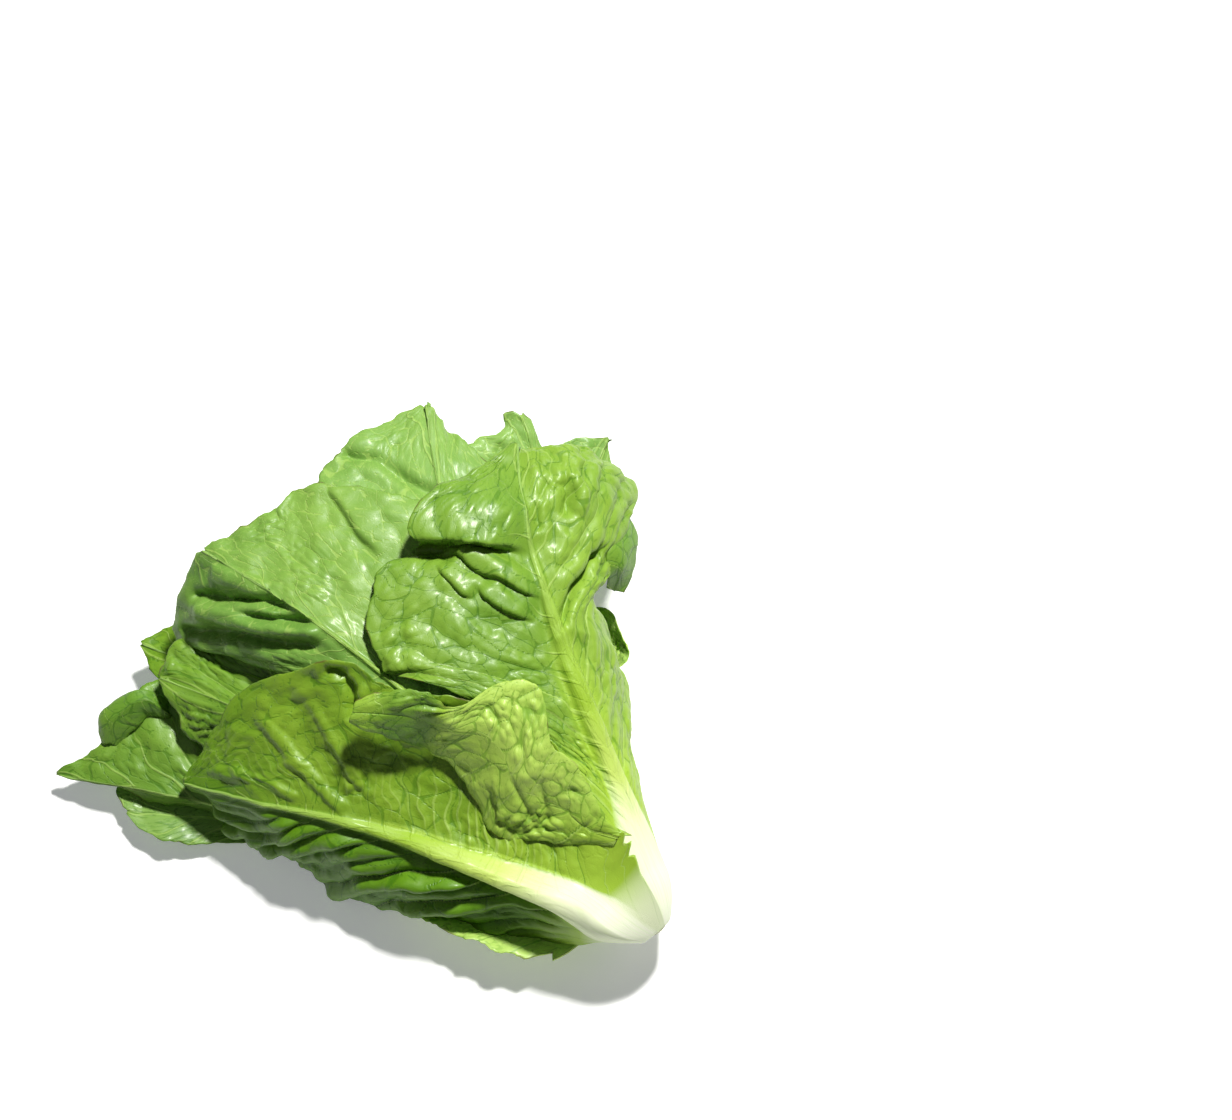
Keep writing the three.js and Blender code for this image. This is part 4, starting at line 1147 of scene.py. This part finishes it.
def stem_surface(t):
    """Cut stem: creamy flesh with a ring of vessels, and light browning where it dried."""
    place, object_place = t.split(t.read("stem_place")), t.object_place()
    cloud = t.noise(object_place, 220.0, 4.0)
    ring = t.ramp(t.math("DIVIDE", place["X"], CUT_RADIUS), CUT_COLOURS)
    spots = t.node("ShaderNodeTexVoronoi", {"Vector": object_place, "Scale": 620.0}).outputs["Distance"]
    colour = t.mix(t.span(spots, 0.1, 0.4, 0.30, 0.0), ring, (0.42, 0.46, 0.20, 1))
    colour = t.mix(t.span(cloud, 0.52, 0.75, 0.0, 0.7), colour, (0.42, 0.24, 0.10, 1))
    normal = t.bump(t.math("MULTIPLY_ADD", cloud, 0.5, t.times(spots, 0.25)), 0.7)
    rough = t.span(cloud, 0.3, 0.7, 0.38, 0.62)
    return t.node("ShaderNodeBsdfPrincipled", {"Base Color": colour, "Roughness": rough, "Normal": normal})


def floor_surface(t):
    """Pale matt board with a faint mottle and a faint painted glow, which lightens its shadows and
    lights the leaves a little from below.
    """
    stage = bpy.context.scene.lettuce_stage
    cloud = t.noise(t.object_place(), 6.0, 3.0)
    colour = t.mix(cloud, *((tone, tone, tone, 1) for tone in (stage.floor_tone * 0.985, stage.floor_tone)))
    return t.node("ShaderNodeBsdfPrincipled", {
        "Base Color": colour, "Roughness": t.span(cloud, 0.3, 0.7, 0.6, 0.75),
        "Emission Color": (0.96, 0.98, 1.0, 1), "Emission Strength": stage.floor_glow,
    })


# ---- What a user may change ----

class LettuceColours(bpy.types.PropertyGroup):
    """Colours and finish of the leaves."""

    stalk: bpy.props.FloatVectorProperty(
        name="Stalk", description="Creamy colour of the leaf bases", size=3, subtype="COLOR", min=0, max=1,
        default=(0.94, 0.95, 0.76))
    # also the green of painted light on leaves that lie in shadow
    young: bpy.props.FloatVectorProperty(
        name="Young Blade", description="Yellow-green of the blade near its stalk", size=3, subtype="COLOR",
        min=0, max=1, default=(0.40, 0.60, 0.05))
    blade: bpy.props.FloatVectorProperty(
        name="Blade", description="Green of the open blade", size=3, subtype="COLOR", min=0, max=1,
        default=(0.222, 0.392, 0.026))
    # also the green of painted shade on halves and tips that turn from the light
    deep: bpy.props.FloatVectorProperty(
        name="Deep Blade", description="Darkest green of the blade", size=3, subtype="COLOR", min=0, max=1,
        default=(0.10, 0.262, 0.008))
    light_through: bpy.props.FloatProperty(
        name="Light Through", description="Share of the light that passes into a leaf", subtype="FACTOR",
        min=0, max=1, default=0.21)


class LettuceStage(bpy.types.PropertyGroup):
    """Floor, lights and camera."""

    floor_tone: bpy.props.FloatProperty(
        name="Floor Tone", description="Brightness of the pale floor", subtype="FACTOR", min=0, max=1,
        default=0.86)
    # painted light: the floor glows to lighten its shadows
    floor_glow: bpy.props.FloatProperty(
        name="Floor Glow", description="Light that comes through the floor from below", min=0, default=0.24)
    key_power: bpy.props.FloatProperty(
        name="Key Light", description="Power of the main light", unit="POWER", min=0, default=49.0)
    key_size: bpy.props.FloatProperty(
        name="Key Size", description="Width of the main light", unit="LENGTH", min=0.01, default=0.16)
    fill_power: bpy.props.FloatProperty(
        name="Fill Light", description="Power of the wide soft light", unit="POWER", min=0, default=1.6)
    sky: bpy.props.FloatProperty(
        name="Sky", description="Brightness of the surroundings", min=0, default=0.08)
    focal_length: bpy.props.FloatProperty(
        name="Focal Length", description="Camera focal length", unit="CAMERA", default=82.18)


# ---- Operators ----

COVER = Cover()


class LETTUCE_OT_outer_leaves(bpy.types.Operator):
    """Make the outer and middle leaves from their three-curve tables"""

    bl_idname = "lettuce.outer_leaves"
    bl_label = "Outer Leaves"

    def execute(self, context):
        COVER.radius[:] = NO_COVER
        widened = False
        for count, (node, leaf) in enumerate(LEAVES.items()):
            look = dict(PLAIN_LOOK, **LOOKS[node], outline=OUTLINES.get(node, ()), folds=FOLDS.get(node, ()))
            look["tucked"] = leaf["ring"] == 0
            gap = RING_GAP * leaf["ring"]
            if gap and not widened:
                COVER.widen()
                widened = True
            cover = COVER if gap or node.startswith("outer_leaf") else None
            thickness, seed = STALK_RINGS[leaf["ring"]][3], LEAF_SEED + SEED_STEP * count
            make_leaf(
                node, blade_sheet(leaf_curves(leaf)), look, thickness, seed, cover=cover, gap=gap,
                reach=PRESSED_TO.get(node, ALL_PRESSED))
        for node, lap in LAPS.items():
            look = dict(LAP_LOOK, **lap["look"])
            make_leaf(node, blade_sheet(leaf_curves(lap)), look, BLADE_THICKNESS, LAP_SEED, "_lap")
        return {"FINISHED"}


class LETTUCE_OT_heart(bpy.types.Operator):
    """Make the facing pairs of small leaves in the middle of the head"""

    bl_idname = "lettuce.heart"
    bl_label = "Heart Leaves"

    def execute(self, context):
        for count in range(2 * HEART_SHELLS):
            shell, facing_side = divmod(count, 2)
            angle = HEART_FIRST_ANGLE + HEART_TURN * shell + 180 * facing_side
            make_leaf(
                "heart_leaf_%02d" % (count + 1), heart_sheet(shell, angle), HEART_LOOK, HEART_THICKNESS,
                HEART_SEED + SEED_STEP * count, cover=COVER, gap=HEART_GAP + shell)
        return {"FINISHED"}


class LETTUCE_OT_stem(bpy.types.Operator):
    """Make the cut stem as a turned shape with an uneven face"""

    bl_idname = "lettuce.stem"
    bl_label = "Stem"

    def execute(self, context):
        make_piece("stem_core", *stem_shape(), made("lettuce_stem", stem_surface), "stem", ["stem"])
        return {"FINISHED"}


def stem_shape():
    """A turned profile on a grid of distance along it and angle round it, its poles drawn in to rings of
    0.02 mm. The radius gains up to half a millimetre of noise, and the cut face gains a shallow pith hollow,
    a bell of 4 mm half width. The whole leans as the head's axis does, its cut as the leaves' cut."""
    knots, share = np.linspace(0, 1, len(STEM_PROFILE)), np.linspace(0, 1, STEM_ROWS)
    back, radius = (np.interp(share, knots, column)[:, None] for column in zip(*STEM_PROFILE))
    turns = np.linspace(0, 2 * np.pi, STEM_TURNS, endpoint=False)
    radius = np.maximum(radius, 0.02) + 0 * turns[None]
    round_x, round_z = np.cos(turns)[None], np.sin(turns)[None]
    spots = np.stack([radius * round_x, back + 0 * radius, radius * round_z], -1)
    bumps = wander(spots, 5, 31) * 0.35 + wander(spots, 2, 32) * 0.15
    radius = radius + bumps * ease(0, 6, radius) * 0.8
    back = back + 0.5 * bumps * (back < 2) + 0.9 * np.exp(-((radius / 4) ** 2)) * (back < 0.6)
    lean = math.atan(AXIS_RISE)
    x, z = radius * round_x, radius * round_z
    y = back - CUT_SLOPE * z * (1 - ease(0, 20, back))
    height = y * math.sin(lean) + z * math.cos(lean) + BUTT_HEIGHT
    points = np.stack([x, y * math.cos(lean) - z * math.sin(lean), height], -1)
    grid = np.arange(radius.size).reshape(radius.shape)
    beside = np.roll(grid, -1, 1)
    faces = np.stack([grid[:-1], grid[1:], beside[1:], beside[:-1]], -1).reshape(-1, 4)
    marks = {"stem_place": np.stack([radius, back, 0 * radius], -1).reshape(-1, 3)}
    return points.reshape(-1, 3), faces, marks


FLOOR_HALF = 4.0  # half the floor's width, m
CAMERA_EYE = (-233.85, -254.80, 1344.43)  # mm from the middle of the cut
CAMERA_TURN, CAMERA_TILT = -40.0, 68.0  # degrees round the head and above the floor


def camera_axes():
    """The camera's right, up and backward directions."""
    turn, tilt = math.radians(CAMERA_TURN), math.radians(CAMERA_TILT)
    back = np.array([math.sin(turn) * math.cos(tilt), -math.cos(turn) * math.cos(tilt), math.sin(tilt)])
    right = np.array([math.cos(turn), math.sin(turn), 0.0])
    return right, np.cross(back, right), back


def stand(name, data, place, back):
    """Puts a light or camera at a place, looking against the given backward direction, its top upwards."""
    thing = bpy.data.objects.new(name, data)
    bpy.context.collection.objects.link(thing)
    right = unit(np.cross((0.0, 0.0, 1.0), back))
    matrix = np.eye(4)
    matrix[:3] = np.stack([right, np.cross(back, right), back, place], -1)
    thing.matrix_world = Matrix(matrix.tolist())
    return thing


class LETTUCE_OT_stage(bpy.types.Operator):
    """Set up the floor, the lights and the camera"""

    bl_idname = "lettuce.stage"
    bl_label = "Stage"

    def execute(self, context):
        settings = context.scene.lettuce_stage
        mesh = bpy.data.meshes.new("floor")
        corners = [(x * FLOOR_HALF, y * FLOOR_HALF, 0) for x, y in ((-1, -1), (1, -1), (1, 1), (-1, 1))]
        mesh.from_pydata(corners, [], [(0, 1, 2, 3)])
        mesh.materials.append(made("pale_board", floor_surface))
        floor = bpy.data.objects.new("floor", mesh)
        context.collection.objects.link(floor)
        floor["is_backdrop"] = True

        axes = np.stack(camera_axes())
        centre = np.array([0.0, 0.0, 0.05])
        # name, direction along the camera's axes, power, width and distance in m, colour
        lights = (
            ("key_light", (0.22, 0.68, 0.70), settings.key_power, settings.key_size, 1.7, (1.0, 0.985, 0.95)),
            ("fill_light", (-0.6, 0.1, 1.0), settings.fill_power, 1.6, 1.8, (0.93, 0.97, 1.0)),
        )
        for name, direction, power, width, distance, colour in lights:
            way = unit(np.array(direction) @ axes)
            light = bpy.data.lights.new(name, "AREA")
            light.energy, light.size, light.color = power, width, colour
            stand(name, light, centre + way * distance, way)
        scene = context.scene
        scene.world = scene.world or bpy.data.worlds.new("sky")
        scene.world.use_nodes = True
        nodes = scene.world.node_tree.nodes
        background = nodes.get("Background") or nodes.new("ShaderNodeBackground")
        background.inputs["Color"].default_value = (0.95, 0.98, 1.0, 1)
        background.inputs["Strength"].default_value = settings.sky
        scene.view_settings.view_transform = "Standard"

        camera = bpy.data.cameras.new("camera")
        camera.lens, camera.sensor_width, camera.clip_end = settings.focal_length, 36.0, 50.0
        scene.camera = stand("camera", camera, (np.array(CAMERA_EYE) + HEAD_PLACE) * MM, axes[2])
        return {"FINISHED"}


class LETTUCE_PT_panel(bpy.types.Panel):
    """Lists the steps and their settings"""

    bl_idname = "LETTUCE_PT_panel"
    bl_label = "Romaine Lettuce"
    bl_space_type = "VIEW_3D"
    bl_region_type = "UI"
    bl_category = "Lettuce"

    def draw(self, context):
        for operator in OPERATORS:
            self.layout.operator(operator.bl_idname)
        for group in (context.scene.lettuce_colours, context.scene.lettuce_stage):
            for key in group.bl_rna.properties.keys():
                if key not in ("rna_type", "name"):
                    self.layout.prop(group, key)


OPERATORS = (LETTUCE_OT_outer_leaves, LETTUCE_OT_heart, LETTUCE_OT_stem, LETTUCE_OT_stage)
CLASSES = (LettuceColours, LettuceStage, *OPERATORS, LETTUCE_PT_panel)


def register():
    for item in CLASSES:
        bpy.utils.register_class(item)
    bpy.types.Scene.lettuce_colours = bpy.props.PointerProperty(type=LettuceColours)
    bpy.types.Scene.lettuce_stage = bpy.props.PointerProperty(type=LettuceStage)


def unregister():
    del bpy.types.Scene.lettuce_stage
    del bpy.types.Scene.lettuce_colours
    for item in reversed(CLASSES):
        bpy.utils.unregister_class(item)


def main():
    """Makes the leaves, the heart, the stem and the stage."""
    register()
    steps = bpy.ops.lettuce
    for step in (steps.outer_leaves, steps.heart, steps.stem, steps.stage):
        if step() != {"FINISHED"}:
            raise RuntimeError("a step did not finish")
    plain = lambda box: [[float(x) for x in corner] for corner in box]
    {"cad": plain(CAD_BOX), "visual": plain(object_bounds())}


if __name__ == "__main__":
    main()
